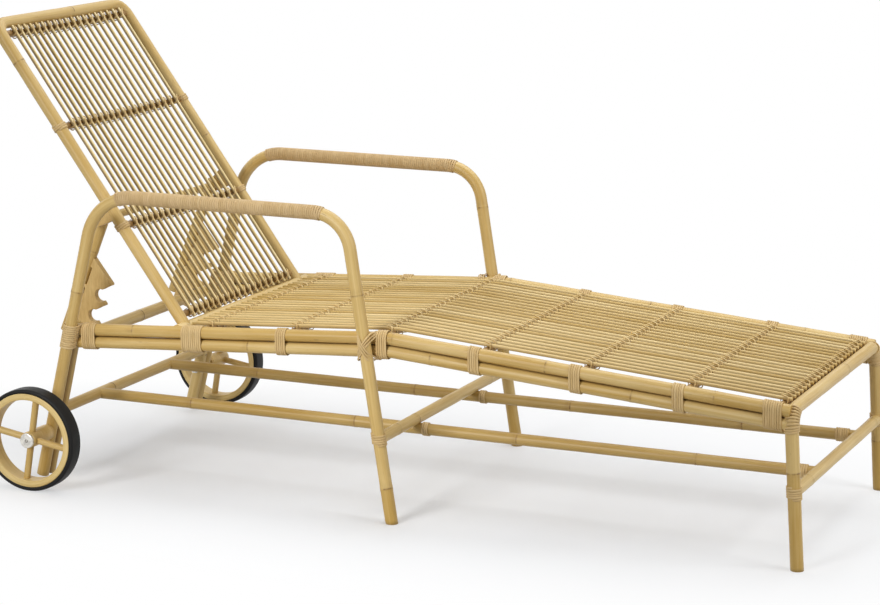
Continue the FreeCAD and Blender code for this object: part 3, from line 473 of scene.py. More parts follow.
class Path:
    """Straight runs joined by tangent arcs, walked by length."""

    def __init__(self, points, radii=()):
        self.runs = []
        self.length = 0.0
        here = points[0]
        for before, corner, after, radius in zip(points, points[1:], points[2:], radii):
            toward = (corner - before).normalized()
            away = (after - corner).normalized()
            turn = toward.angle(away)
            setback = radius * math.tan(turn / 2)
            start = corner - toward * setback
            inward = (away - toward * toward.dot(away)).normalized()
            self._line(here, start)
            self.runs.append(("arc", self.length, start + inward * radius, -inward, toward, radius))
            self.length += radius * turn
            here = corner + away * setback
        self._line(here, points[-1])

    def _line(self, start, end):
        self.runs.append(("line", self.length, start, (end - start).normalized()))
        self.length += (end - start).length

    def at(self, s):
        """Point and tangent at a length along the path."""
        run = [run for run in self.runs if run[1] <= s][-1]
        if run[0] == "line":
            return run[2] + run[3] * (s - run[1]), run[3]
        angle = (s - run[1]) / run[5]
        out = run[3] * math.cos(angle) + run[4] * math.sin(angle)
        return run[2] + out * run[5], run[4] * math.cos(angle) - run[3] * math.sin(angle)

    def nearest(self, point):
        """Length at which the path comes closest to a point."""
        steps = 1200
        lengths = [self.length * i / steps for i in range(steps + 1)]
        return min(lengths, key=lambda s: (self.at(s)[0] - point).length)


class Skin:
    """Collects swept rings of points into one mesh with grain, ring, tone and painted shade attributes."""

    def __init__(self):
        self.columns = {"place": [], "grain": [], "ring": [], "tone": [], "seam": []}
        self.faces = []
        self.count = 0

    def _add(self, *values):
        """Adds points, and gives the number of the first."""
        first = self.count
        self.count += len(values[0])
        for column, part in zip(self.columns.values(), values):
            column.append(part)
        return first

    def sweep(self, sections, grain, tone, ring=0.0, seam=0.0, closed=False):
        """Adds a tube of (stations, sides, 3) sections; tone and ring go by station, painted shade by side.
        """
        stations, sides = sections.shape[:2]
        tones = np.broadcast_to(tone, stations)
        rings = np.broadcast_to(ring, stations)
        seams = np.broadcast_to(seam, sides)
        first = self._add(sections.reshape(-1, 3), grain.reshape(-1, 3), np.repeat(rings, sides),
                          np.repeat(tones, sides), np.tile(seams, stations))
        i = np.arange(stations if closed else stations - 1)[:, None]
        j = np.arange(sides)[None, :]
        after = (i + 1) % stations
        beside = (j + 1) % sides
        corners = (i * sides + j, i * sides + beside, after * sides + beside, after * sides + j)
        self.faces.extend((np.stack(corners, axis=-1).reshape(-1, 4) + first).tolist())
        if not closed:
            self._cap(sections[0][::-1], grain[0][::-1], tones[0])
            self._cap(sections[-1], grain[-1], tones[-1])

    def _cap(self, loop, grain, tone):
        sides = len(loop)
        flat = [np.full(sides, value) for value in (CUT_RING, tone + CUT_TONE, 0.0)]
        first = self._add(loop, grain, *flat)
        self.faces.append(list(range(first, first + sides)))

    def build(self, name, look, node=None, body="frame"):
        """Makes the object, and rides it on a body in place of its CAD node."""
        mesh = bpy.data.meshes.new(name)
        columns = {label: np.concatenate(parts) for label, parts in self.columns.items()}
        mesh.from_pydata(columns.pop("place").tolist(), [], self.faces)
        mesh.polygons.foreach_set("use_smooth", [len(f) == 4 for f in self.faces])
        for label, values in columns.items():
            kind, field = ("FLOAT_VECTOR", "vector") if label == "grain" else ("FLOAT", "value")
            data = mesh.attributes.new(label, kind, "POINT").data
            data.foreach_set(field, values.astype(np.float32).ravel())
        mesh.update()
        place(name, mesh, look, node, body)


def add_object(name, data):
    obj = bpy.data.objects.new(name, data)
    bpy.context.scene.collection.objects.link(obj)
    return obj


def place(name, mesh, look, node, body):
    """Adds a piece to the scene, in place of a CAD node if one is named."""
    obj = add_object(name, mesh)
    mesh.materials.clear()
    mesh.materials.append(MATERIALS[look])
    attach(obj, body)
    if node:
        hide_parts(node)
    return obj


def circle(count):
    """Angles at even steps round a circle."""
    return np.linspace(0, 2 * math.pi, count, endpoint=False)


def bell(distance, width):
    return math.exp(-((distance / width) ** 2))


def ring_places(length, rng):
    """Lengths of a pole's node rings."""
    places = []
    s = rng.uniform(*FIRST_RING)
    while s < length - LAST_RING:
        places.append(s)
        s += rng.uniform(*RING_SPACING)
    return places


def pole_stations(length, step, rings):
    """Lengths of a pole's sections, close together at its ends and rings."""
    stations = {0.0, END_BEVEL, length - END_BEVEL, length}
    count = max(2, int(length / step))
    stations.update(length * i / count for i in range(1, count))
    for ring_s in rings:
        near = [ring_s + d * RING_STEP for d in range(-RING_STEPS, RING_STEPS + 1)]
        stations.update(s for s in near if RING_MARGIN < s < length - RING_MARGIN)
    return sorted(stations)


def pole(skin, path, radius, normal, seed, rings=None, sides=20, step=0.012, tone=None,
         on_floor=False, seams=(), end_tones=(0.0, 0.0)):
    """Rattan pole along a flat path: a slightly uneven round with a raised node ring here and there.

    Sides that face the direction of a painted shade, given as a (direction, start, depth) triple, are painted
    dark: shade painted into the crevices where poles lie together and onto the sides and undersides of slats.
    The stretches between the rings differ a little in tone, and the first and last also by the end tones.
    """
    rng = random.Random(seed)
    if rings is None:
        rings = ring_places(path.length, rng)
    if tone is None:
        tone = rng.uniform(*POLE_TONES)
    stations = pole_stations(path.length, step, rings)
    wobble = [rng.uniform(*PHASES) for i in range(3)]
    origin = np.array([rng.uniform(*GRAIN_SHIFTS) for i in range(3)])
    angles = circle(sides)
    cos = np.cos(angles)
    sin = np.sin(angles)
    sections = np.empty((len(stations), sides, 3))
    grain = np.empty_like(sections)
    ring = np.zeros(len(stations))
    for i, s in enumerate(stations):
        centre, tangent = path.at(s)
        uneven = sum(depth * math.sin(often * s + phase) for (depth, often), phase in zip(WAVES, wobble))
        size = radius * (TRUE_SIZE + uneven)
        for ring_s in rings:
            d = s - ring_s
            size += RING_SWELL * radius * (bell(d, RING_WIDTH) - GROOVE_SHARE * bell(d, GROOVE_WIDTH))
            stain = STAIN_DEPTH * bell(d + STAIN_WIDTH, STAIN_WIDTH)
            ring[i] = max(ring[i], bell(d, RING_LINE), stain)
        if s in (0.0, path.length):
            size -= END_INSET
        out = size * (1 + OVAL[0] * np.cos(2 * angles + wobble[2] + OVAL[1] * s))
        second = tangent.cross(normal)
        sections[i] = np.array(centre) + np.outer(out * cos, normal) + np.outer(out * sin, second)
        grain[i] = np.stack([cos * radius, sin * radius, np.full(sides, s)], axis=-1) + origin
    if on_floor:
        sections[:, :, 2] = np.maximum(sections[:, :, 2], 0.0)
    # Painted shade on the sides that face each given direction
    dark = np.zeros(sides)
    second = path.at(0.0)[1].cross(normal)
    for direction, start, depth in seams:
        facing = cos * normal.dot(direction) + sin * second.dot(direction)
        dark = np.maximum(dark, depth * np.clip((facing - start) / (PAINTED_SHADE_FULL - start), 0.0, 1.0))
    shades = [tone + rng.uniform(*STRETCH_TONES) for i in range(len(rings) + 1)] if rings else [tone]
    shades[0] += end_tones[0]
    shades[-1] += end_tones[1]
    tones = np.array([shades[sum(s > ring_s for ring_s in rings)] for s in stations])
    skin.sweep(sections, grain, tones, ring, dark)


def single_pole(name, path, radius, normal, node, seed, marks=(), body="frame", slot="pole_rattan",
                look="pole", **options):
    if marks:
        options["rings"] = [path.nearest(mark_and_shade) for mark_and_shade in marks]
    skin = Skin()
    pole(skin, path, radius, normal, seed, **options)
    skin.build(name, look, node, body)


def unit(rows):
    return rows / np.linalg.norm(rows, axis=1)[:, None]


def loop_steps(points):
    """Steps across each point of a closed row."""
    return np.roll(points, -1, axis=0) - np.roll(points, 1, axis=0)


def run_lengths(points):
    """Length from the first point of a row to each."""
    return np.concatenate([[0.0], np.cumsum(np.linalg.norm(np.diff(points, axis=0), axis=1))])


def strand(skin, points, normals, half, tone, closed=False, tuck=0.0):
    """Flat-oval strand along points; normals point away from what it lies on, and its ends may tuck in."""
    points = np.asarray(points, dtype=float)
    normals = np.asarray(normals, dtype=float)
    tangents = unit(loop_steps(points) if closed else np.gradient(points, axis=0))
    normals = unit(normals - tangents * np.sum(normals * tangents, axis=1)[:, None])
    across = np.cross(tangents, normals)
    travelled = run_lengths(points)
    if tuck:
        from_end = np.minimum(travelled, travelled[-1] - travelled)
        points = points - normals * (tuck * np.clip(1 - from_end / TUCK_LENGTH, 0, 1) ** 2)[:, None]
    angles = circle(count=8)
    ways = np.stack([np.cos(angles), np.sin(angles)])
    flat = np.sign(ways) * np.abs(ways) ** STRAND_POWER * np.array(half)[:, None]
    wide, thick = flat[:, None, :, None]
    sections = points[:, None] + (wide * across[:, None] + thick * normals[:, None])
    grain = np.empty_like(sections)
    for axis in range(2):
        grain[:, :, axis] = ways[axis] * half[axis] + tone * STRAND_SHIFT[axis]
    grain[:, :, 2] = travelled[:, None]
    skin.sweep(sections, grain, tone, closed=closed)


def wind(skin, middle, axis, stack, radius, half_straight, turns, seed):
    """Winding round one pole or two stacked poles, centred on a point, moving on along axis."""
    rng = random.Random(seed)
    axis = axis.normalized()
    beside = axis.cross(stack)
    r = radius + SEAT_GAP + LASHING_HALF[1]
    arc = [math.pi * i / WIND_STEPS for i in range(WIND_STEPS + 1)]
    half_round = [(-math.cos(a) * r, half_straight + math.sin(a) * r, -math.cos(a), math.sin(a)) for a in arc]
    if half_straight > 0:
        half_round += [(r, half_straight * k, 1, 0) for k in (0.5, 0, -0.5)]
    else:
        half_round.pop()
    outline = half_round + [tuple(-v for v in spot) for spot in half_round]
    points = []
    normals = []
    total = turns * len(outline)
    shifts = [rng.uniform(*WIND_SHIFTS) for i in range(turns + 2)]
    for n in range(total + 1):
        turn, k = divmod(n, len(outline))
        b, u, nb, nu = outline[k]
        blend = k / len(outline)
        shift = shifts[turn] * (1 - blend) + shifts[turn + 1] * blend
        along = (n / total - 0.5) * turns * LASHING_PITCH + shift
        points.append(middle + axis * along + beside * b + stack * u)
        normals.append(beside * nb + stack * nu)
    tuck = TUCK_SHARE * LASHING_HALF[1]
    strand(skin, points, normals, LASHING_HALF, rng.uniform(*WIND_TONES), tuck=tuck)


def coil(skin, path, start, end, radius, normal, pitch, half, seed, tone=0.0):
    """Close winding along a bent pole, between two lengths of its path."""
    rng = random.Random(seed)
    total = int((end - start) / pitch * COIL_STEPS)
    points = []
    normals = []
    for n in range(total + 1):
        centre, tangent = path.at(start + (end - start) * n / total)
        angle = 2 * math.pi * n / COIL_STEPS
        out = normal * math.cos(angle) + tangent.cross(normal) * math.sin(angle)
        points.append(centre + out * (radius + SEAT_GAP + half[1]))
        normals.append(out)
    strand(skin, points, normals, half, tone + rng.uniform(*COIL_TONES), tuck=TUCK_SHARE * half[1])


def hull_loop(points, count):
    """Even places round the convex outline of flat points, from the leftmost, and the outward normals."""
    order = convex_hull_2d(points)
    first = order.index(min(order, key=lambda k: points[k]))
    loop = np.array([points[k] for k in order[first:] + order[:first + 1]])
    lengths = run_lengths(loop)
    wanted = np.linspace(0, lengths[-1], count, endpoint=False)
    flat = np.stack([np.interp(wanted, lengths, loop[:, k]) for k in range(2)], axis=-1)
    ahead = unit(loop_steps(flat))
    return flat, np.stack([ahead[:, 1], -ahead[:, 0]], axis=-1)


# Places that several pieces share


def heading(angle):
    """Direction in the side view, at an angle up from +X."""
    return Vector((math.cos(angle), 0, math.sin(angle)))


def seat_z(x):
    """Height of the upper side rails at a station."""
    if x < KNEE_X:
        return KNEE_Z - (KNEE_X - x) * math.tan(REAR_RISE)
    return KNEE_Z - (x - KNEE_X) * math.tan(FRONT_FALL)


def on_seat(x, y, down=0.0):
    return Vector((x, y, seat_z(x) - down))


def seat_along(x):
    """Direction of the seat towards the foot at a station."""
    return heading(REAR_RISE if x <= KNEE_X else -FRONT_FALL)


def rear_leg(z, y):
    return Vector((REAR_LEG_X + z * REAR_LEAN, y, z))


def mid_leg(z, y):
    return Vector((MID_LEG_X - z * MID_LEAN, y, z))


def foot_leg(z, y):
    return Vector((FOOT_X + (seat_z(FOOT_X) - z) * FOOT_SPLAY, y, z))


BACK_UP = heading(math.pi - BACK_ANGLE)
BACK_FRONT = heading(math.pi / 2 - BACK_ANGLE)
HINGE = on_seat(HINGE_X, 0)


def on_back(along, y, front=0.0):
    return HINGE + BACK_UP * along + BACK_FRONT * front + Y_AXIS * y


def bow_drop(y):
    """Drop of the bowed back crossbars below their ends."""
    return math.sqrt(BACK_BOW_R ** 2 - y ** 2) - (BACK_BOW_R - BACK_BOW)


def spread(count, pitch):
    return [(i - (count - 1) / 2) * pitch for i in range(count)]


# Pieces of the frame


def side_hoop_path(sign):
    y = sign * HOOP_Y
    points = [rear_leg(REAR_LEG_CLEAR, y), rear_leg(ARM_Z, y), mid_leg(ARM_Z, y), mid_leg(-FLOOR_SINK, y)]
    return Path(points, (REAR_BEND_R, FRONT_BEND_R))


def foot_hoop_path():
    near = (foot_leg(-FLOOR_SINK, -RAIL_Y), on_seat(FOOT_X, -RAIL_Y))
    far = (on_seat(FOOT_X, RAIL_Y), foot_leg(-FLOOR_SINK, RAIL_Y))
    return Path([*near, *far], (FOOT_BEND_R, FOOT_BEND_R))


def foot_hoop_normal():
    """Direction square to the flat that the foot hoop lies in."""
    return Y_AXIS.cross(foot_leg(0, 0) - foot_leg(1, 0)).normalized()


def side_poles(n, side, sign):
    """Hoop, inner rear leg, side rails and long stretcher of one side."""
    y = sign * HOOP_Y
    hoop = side_hoop_path(sign)
    marks = [mid_leg(z, y) for z in MID_LEG_RINGS[side]] + [rear_leg(REAR_LEG_RINGS[side], y)]
    # The legs' lowest stretches get deeper end tones: painted shade near the floor
    single_pole(f"side_hoop_pole_{side}", hoop, POLE_R, Y_AXIS, f"side_hoop_{side}", seed=11 + n,
                marks=marks, on_floor=True, end_tones=(-0.1, -0.7))
    y = sign * RAIL_Y
    top = seat_z(rear_leg(KNEE_Z, 0).x) + POLE_R
    # The inner rear leg's side towards the hoop's leg gets painted shade, where the two lie together
    inner = Path([rear_leg(REAR_LEG_CLEAR, y), rear_leg(top, y)])
    single_pole(f"rear_leg_pole_{side}", inner, POLE_R, Y_AXIS, f"rear_leg_inner_{side}", seed=21 + n,
                rings=INNER_LEG_RINGS, seams=[(sign * Y_AXIS, *LEG_PAINTED_SHADE)])
    # The upper rail's underside and the lower rail's top, where the two lie together, get painted shade
    rails = (("upper", 0.0, UPPER_RAIL_RINGS, -UP), ("lower", RAIL_CLOSE, LOWER_RAIL_RINGS, UP))
    for m, (level, drop, stations, seam) in enumerate(rails):
        rail = Path([on_seat(x, y, drop) for x in (REAR_LEG_FRONT_X, KNEE_X, FOOT_X)], (KNEE_BEND_R,))
        marks = [on_seat(x, y, drop) for x in stations]
        single_pole(f"{level}_rail_pole_{side}", rail, POLE_R, Y_AXIS, f"{level}_side_rail_{side}",
                    seed=31 + 2 * n + m, marks=marks, seams=[(seam, *RAIL_PAINTED_SHADE)])
    stations = (rear_leg(REAR_STRETCHER_Z, 0).x, foot_leg(FOOT_STRETCHER_Z, 0).x)
    ends = [Vector((x, sign * LONG_STRETCHER_Y, LONG_STRETCHER_Z)) for x in stations]
    rings = [x - ends[0].x for x in LONG_STRETCHER_RINGS]
    # Long stretcher in the deeper look: painted shade under the seat
    single_pole(f"long_stretcher_pole_{side}", Path(ends), STRETCHER_R, Y_AXIS, f"long_stretcher_{side}",
                seed=41 + n, look="deep", rings=rings)


def frame_poles():
    for n, side, sign in SIDES:
        side_poles(n, side, sign)
    hoop = foot_hoop_path()
    near_z, far_z = FOOT_LEG_RINGS
    marks = (foot_leg(near_z, -RAIL_Y), on_seat(FOOT_X, END_RAIL_RING), foot_leg(far_z, RAIL_Y))
    # Both foot legs' lowest stretches get deeper end tones: painted shade near the floor
    single_pole("foot_hoop_pole", hoop, POLE_R, foot_hoop_normal(), "foot_hoop", seed=51,
                marks=marks, on_floor=True, end_tones=(-0.6, -0.6))
    across("rear", "rail", REAR_RAIL_X, REAR_RAIL_Z, REAR_RAIL_HALF, POLE_R, seed=52)
    stretchers = (
        ("rear", rear_leg, REAR_STRETCHER_Z, RAIL_Y, None),
        ("mid", mid_leg, MID_STRETCHER_Z, HOOP_Y, MID_STRETCHER_RINGS),
        ("foot", foot_leg, FOOT_STRETCHER_Z, RAIL_Y, None),
    )
    for n, (end, leg, z, half, rings) in enumerate(stretchers):
        across(end, "stretcher", leg(z, 0).x, z, half, STRETCHER_R, seed=53 + n, rings=rings)


def across(end, kind, x, z, half, radius, seed, rings=None):
    path = Path([Vector((x, -half, z)), Vector((x, half, z))])
    single_pole(f"{end}_{kind}_pole", path, radius, X_AXIS, f"{end}_cross_{kind}", seed, rings=rings)


def slats(part, paths, look, face, seam, tone_seed, seed, body="frame"):
    """Slats with pale peeled faces, and painted shade on their sides and undersides."""
    rng = random.Random(tone_seed)
    skin = Skin()
    # Painted shade on both sides and the underside of each slat
    seams = [(direction, *seam) for direction in (Y_AXIS, -Y_AXIS, -face)]
    for n, path in enumerate(paths):
        pole(skin, path, SLAT_R, Y_AXIS, seed + n, rings=(), sides=12, step=ROD_STEP,
             tone=rng.uniform(*SLAT_TONES), seams=seams)
    skin.build(f"{part}_slat_rods", look, f"{part}_slats", body)


def crossbars(part, paths, normal, seed, body="frame"):
    skin = Skin()
    for n, path in enumerate(paths):
        pole(skin, path, CROSSBAR_R, normal, seed + n, sides=14, step=ROD_STEP)
    # Dark crossbar look: painted shade under the slats and lacing
    skin.build(f"{part}_crossbar_rods", "bar", f"{part}_crossbars", body)


def lacing_points(slat_count, pitch):
    """Route of a lacing row in its own frame: over each slat, down beside it and under the crossbar."""
    lift = SEAT_GAP + LACING_HALF[1]
    side = CROSSBAR_R + lift + LACING_GAP
    top = CROSSBAR_R + 2 * SLAT_R + lift + LACING_TOP_GAP
    beside = SLAT_R + LACING_HALF[0] + LACING_GAP
    corners = []
    for y in spread(slat_count, pitch):
        corners += [(side, y - beside, -side), (side, y - beside, top)]
        corners += [(-side, y + beside, top), (-side, y + beside, -side)]
    corners[0] = (side, corners[0][1], 0.0)
    corners[-1] = (-side, corners[-1][1], 0.0)
    corners = [Vector(c) for c in corners]
    points = [corners[0]]
    normals = [X_AXIS]
    for before, corner, after in zip(corners, corners[1:], corners[2:]):
        toward = (corner - before).normalized()
        away = (after - corner).normalized()
        centre = corner + (away - toward) * LACING_BEND
        for k in range(LACING_STEPS + 1):
            a = math.pi / 2 * k / LACING_STEPS
            out = -away * math.cos(a) + toward * math.sin(a)
            points.append(centre + out * LACING_BEND)
            normals.append(out)
    return [*points, corners[-1]], [*normals, -X_AXIS]


def lacing(part, slat_count, pitch, rows, seed, body="frame", drop=None):
    """Lacing rows of flat strands; rows are (origin, along, up) frames, and drop lowers a bowed row."""
    points, normals = lacing_points(slat_count, pitch)
    if drop is not None:
        points = [p - UP * drop(p.y) for p in points]
    skin = Skin()
    rng = random.Random(seed)
    for origin, along, up in rows:
        turn = Matrix((along, Y_AXIS, up)).transposed()
        route = [turn @ p + origin for p in points]
        out = [turn @ v for v in normals]
        strand(skin, route, out, LACING_HALF, rng.uniform(*LACING_TONES), tuck=0.003)
    skin.build(f"{part}_lacing_strands", "lace", f"{part}_lacing", body)


def seat():
    """Slats, crossbars and lacing of the seat."""
    start, end = [on_seat(x, 0) + seat_along(x).cross(Y_AXIS) * SLAT_LIFT
                  for x in (HINGE_X + SEAT_SLAT_START, FOOT_X - SLAT_END)]
    knee = on_seat(KNEE_X, 0, -SLAT_LIFT / math.cos((REAR_RISE + FRONT_FALL) / 2))
    rods = [Path([p + Y_AXIS * y for p in (start, knee, end)], (KNEE_BEND_R,))
            for y in spread(SEAT_SLATS, SEAT_SLAT_PITCH)]
    slats("seat", rods, "slat", UP, SEAT_SLAT_PAINTED_SHADE, tone_seed=5, seed=100)
    bars = [Path([on_seat(x, -RAIL_Y), on_seat(x, RAIL_Y)]) for x in SEAT_ROWS]
    crossbars("seat", bars, X_AXIS, seed=140)
    rows = [(on_seat(x, 0), seat_along(x), seat_along(x).cross(Y_AXIS)) for x in SEAT_ROWS]
    lacing("seat", SEAT_SLATS, SEAT_SLAT_PITCH, rows, seed=7)


def rail_lashings():
    """Windings round the pairs of side rails, the first just ahead of the rear leg."""
    leg_x = rear_leg(seat_z(REAR_LEG_FRONT_X), 0).x
    rear_x = leg_x + POLE_R + REAR_LASHING_GAP + REAR_LASHING_TURNS * LASHING_PITCH / 2
    spots = ((rear_x, REAR_LASHING_TURNS), *RAIL_LASHINGS)
    half = RAIL_DROP / 2
    for n, side, sign in SIDES:
        skin = Skin()
        for m, (x, turns) in enumerate(spots):
            radius = POLE_R + (KNEE_SPARE if abs(x - KNEE_X) < KNEE_REACH else 0.0)
            middle = on_seat(x, sign * RAIL_Y, half)
            wind(skin, middle, seat_along(x), UP, radius, half, turns, seed=300 + 20 * n + m)
        skin.build(f"rail_lashing_strands_{side}", "cane", f"rail_lashings_{side}")


def leg_lashings():
    """Windings of the rear leg pairs, the mid legs and the foot legs, and round the foot corners."""
    skin = Skin()
    rear_z = seat_z(REAR_LEG_FRONT_X) - RAIL_DROP / 2 + REAR_LEG_LIFT
    corner_z = seat_z(FOOT_X) - FOOT_BEND_R - CORNER_TURNS * LASHING_PITCH
    corner_y = RAIL_Y - CORNER_REACH * FOOT_BEND_R
    half_apart = (HOOP_Y - RAIL_Y) / 2
    hoop = foot_hoop_path()
    up_rear, up_mid, up_foot = [leg(1, 0) - leg(0, 0) for leg in (rear_leg, mid_leg, foot_leg)]
    for n, _, sign in SIDES:
        rear = rear_leg(rear_z, sign * (RAIL_Y + HOOP_Y) / 2)
        mid = mid_leg(MID_STRETCHER_Z, sign * HOOP_Y)
        foot = foot_leg(FOOT_STRETCHER_Z, sign * RAIL_Y)
        wind(skin, rear, up_rear, Y_AXIS, POLE_R, half_apart, REAR_LEG_TURNS, seed=400 + n)
        wind(skin, mid, up_mid, X_AXIS, POLE_R, 0, LEG_TURNS, seed=410 + n)
        wind(skin, foot, up_foot, X_AXIS, POLE_R, 0, LEG_TURNS, seed=420 + n)
        corner = (foot_leg(corner_z, sign * RAIL_Y), on_seat(FOOT_X, sign * corner_y))
        ends = sorted(hoop.nearest(spot) for spot in corner)
        coil(skin, hoop, *ends, POLE_R, foot_hoop_normal(), LASHING_PITCH, LASHING_HALF, seed=430 + n)
    skin.build("leg_lashing_strands", "cane", "leg_lashings")


def cross_loop(sign, tilt, shift, margin):
    """Route of a tilted strand round both side rails and the mid leg, and its outward normals."""
    along = heading(tilt)
    beside = heading(tilt + math.pi / 2)
    middle = mid_leg(seat_z(0) - RAIL_DROP / 2, sign * RAIL_Y) + beside * shift
    rounds = [((level - shift * math.cos(tilt)) / math.sin(tilt), 0.0, abs(math.sin(tilt)))
              for level in (-RAIL_DROP / 2, RAIL_DROP / 2)]
    rounds.append((shift * math.tan(tilt), sign * (HOOP_Y - RAIL_Y), math.cos(tilt)))
    points = []
    for u, v, lean in rounds:
        wide = POLE_R / lean + margin
        deep = POLE_R + margin
        points += [(u + wide * math.cos(a), v + deep * math.sin(a)) for a in circle(count=40)]
    flat, outward = hull_loop(points, count=64)
    loop = [middle + along * u + Y_AXIS * v for u, v in flat]
    return loop, [along * u + Y_AXIS * v for u, v in outward]


def cross_lashings():
    """Strands that cross over each mid leg and tie it to both side rails."""
    skin = Skin()
    for n, _, sign in SIDES:
        for layer, tilt in enumerate((CROSS_TILT, -CROSS_TILT)):
            margin = CROSS_HALF[1] * (CROSS_MARGIN + 2 * layer)
            for k in (-1, 0, 1):
                loop, normals = cross_loop(sign, tilt, k * CROSS_PITCH, margin)
                tone = k * CROSS_TONES[0] + n * CROSS_TONES[1]
                strand(skin, loop, normals, CROSS_HALF, tone, closed=True)
    skin.build("cross_lashing_strands", "cane")


def stretcher_lashings():
    skin = Skin()
    beside = STRETCHER_R + TIE_GAP
    foot_x = foot_leg(FOOT_STRETCHER_Z, 0).x - beside - FOOT_TIE_TURNS * LASHING_PITCH / 2
    mid_x = mid_leg(MID_STRETCHER_Z, 0).x + beside + MID_TIE_TURNS * LASHING_PITCH / 2
    for n, _, sign in SIDES:
        for x, turns, seed in ((foot_x, FOOT_TIE_TURNS, 440), (mid_x, MID_TIE_TURNS, 450)):
            middle = Vector((x, sign * LONG_STRETCHER_Y, LONG_STRETCHER_Z))
            wind(skin, middle, X_AXIS, UP, STRETCHER_R, 0, turns, seed + n)
    skin.build("stretcher_lashing_strands", "cane", "stretcher_lashings")


def arm_wraps():
    """Close winding over each arm, a little way into its bends."""
    rear_turn = math.pi / 2 - math.atan(REAR_LEAN)
    front_turn = math.pi / 2 - math.atan(MID_LEAN)
    start_x = rear_leg(ARM_Z, 0).x + REAR_BEND_R * math.tan(rear_turn / 2)
    end_x = mid_leg(ARM_Z, 0).x - FRONT_BEND_R * math.tan(front_turn / 2)
    for n, side, sign in SIDES:
        hoop = side_hoop_path(sign)
        start = hoop.nearest(Vector((start_x, sign * HOOP_Y, ARM_Z))) - ARM_WRAP_START
        end = hoop.nearest(Vector((end_x, sign * HOOP_Y, ARM_Z))) + ARM_WRAP_END
        skin = Skin()
        coil(skin, hoop, start, end, POLE_R, Y_AXIS, ARM_PITCH, ARM_HALF, seed=460 + n, tone=ARM_TONES[side])
        skin.build(f"arm_winding_{side}", "arm", f"arm_wrap_{side}")


# Pieces of the backrest and the prop


def backrest():
    body = "backrest"
    ends = ((0, -BACK_Y), (BACK_LENGTH, -BACK_Y), (BACK_LENGTH, BACK_Y), (0, BACK_Y))
    hoop = Path([on_back(along, y) for along, y in ends], (BACK_BEND_R, BACK_BEND_R))
    marks = [on_back(along, y) for along, y in BACK_HOOP_RINGS]
    single_pole("back_hoop_pole", hoop, POLE_R, BACK_FRONT, "back_hoop", seed=61, marks=marks, body=body)
    half = RAIL_Y - POLE_R - BACK_END_GAP
    bottom = Path([on_back(0, -half), on_back(0, half)])
    single_pole("back_bottom_pole", bottom, POLE_R, BACK_FRONT, "back_bottom_rail", seed=62, body=body)
    peak = -BACK_Y ** 2 / (BACK_BOW_R - BACK_BOW)
    bars = []
    for along in BACK_ROWS:
        points = [on_back(along, -BACK_Y), on_back(along, 0, peak), on_back(along, BACK_Y)]
        bars.append(Path(points, (BOW_FIT * BACK_BOW_R,)))
    crossbars("back", bars, BACK_UP, seed=160, body=body)
    rods = []
    for y in spread(BACK_SLATS, BACK_SLAT_PITCH):
        lift = SLAT_LIFT - bow_drop(y)
        rods.append(Path([on_back(s, y, lift) for s in (BACK_SLAT_END, BACK_LENGTH - BACK_SLAT_END)]))
    # Back slats in the paler look, a painted highlight, with painted shade on their sides and backs
    slats("back", rods, "back_slat_painted_light", BACK_FRONT, BACK_SLAT_PAINTED_SHADE, tone_seed=6, seed=180, body=body)
    rows = [(on_back(along, 0), -BACK_UP, BACK_FRONT) for along in BACK_ROWS]
    lacing("back", BACK_SLATS, BACK_SLAT_PITCH, rows, seed=8, body=body, drop=bow_drop)
    ties = Skin()
    for n, along in enumerate(BACK_TIES):
        for _, _, sign in SIDES:
            middle = on_back(along, sign * BACK_Y)
            wind(ties, middle, BACK_UP, BACK_FRONT, POLE_R, 0, STILE_TURNS, seed=470 + 2 * n + sign)
    ties.build("back_lashing_strands", "cane", "back_lashings", body)


def prop():
    """Poles, toothed boards, lugs and pivot bar of the prop."""
    notch = Vector((REAR_RAIL_X, 0, REAR_RAIL_Z))
    pivot = on_back(PROP_ALONG, 0, -PROP_BEHIND)
    reach = pivot - notch
    lean = math.atan2(reach.x, reach.z) + math.asin(PROP_OFFSET / reach.length)
    forward = heading(-lean)
    up = heading(math.pi / 2 - lean)
    height = math.sqrt(reach.length ** 2 - PROP_OFFSET ** 2)

    def at(z, y):
        x = -PROP_OFFSET - PROP_POLE_LEAN * (height - z) / height
        return notch + forward * x + up * z + Y_AXIS * y

    for n, side, sign in SIDES:
        y = sign * PROP_Y
        path = Path([at(-PROP_TAIL, y), at(height + PROP_HEAD, y)])
        single_pole(f"prop_upright_{side}", path, PROP_POLE_R, Y_AXIS, f"prop_pole_{side}", seed=71 + n,
                    rings=PROP_RINGS, body="prop", slot="prop_wood")
        softened(f"prop_teeth_{side}", f"prop_board_{side}", "prop")
    softened("prop_lug_blocks", "prop_lugs", "backrest")
    bar = Path([pivot - Y_AXIS * PROP_BAR_HALF, pivot + Y_AXIS * PROP_BAR_HALF])
    single_pole("prop_pivot_pole", bar, PROP_BAR_R, X_AXIS, "prop_bar", seed=73, body="prop",
                slot="prop_wood")


def softened(name, node, body):
    """Copy of a CAD board with its edges worn round."""
    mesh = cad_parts[node].data.copy()
    obj = place(name, mesh, "wood", node, body)
    remesh = obj.modifiers.new("even", "REMESH")
    remesh.mode = "VOXEL"
    remesh.voxel_size = 0.0010
    remesh.use_smooth_shade = True
    smooth = obj.modifiers.new("worn", "SMOOTH")
    smooth.factor = 0.5
    smooth.iterations = 5


# Wheels


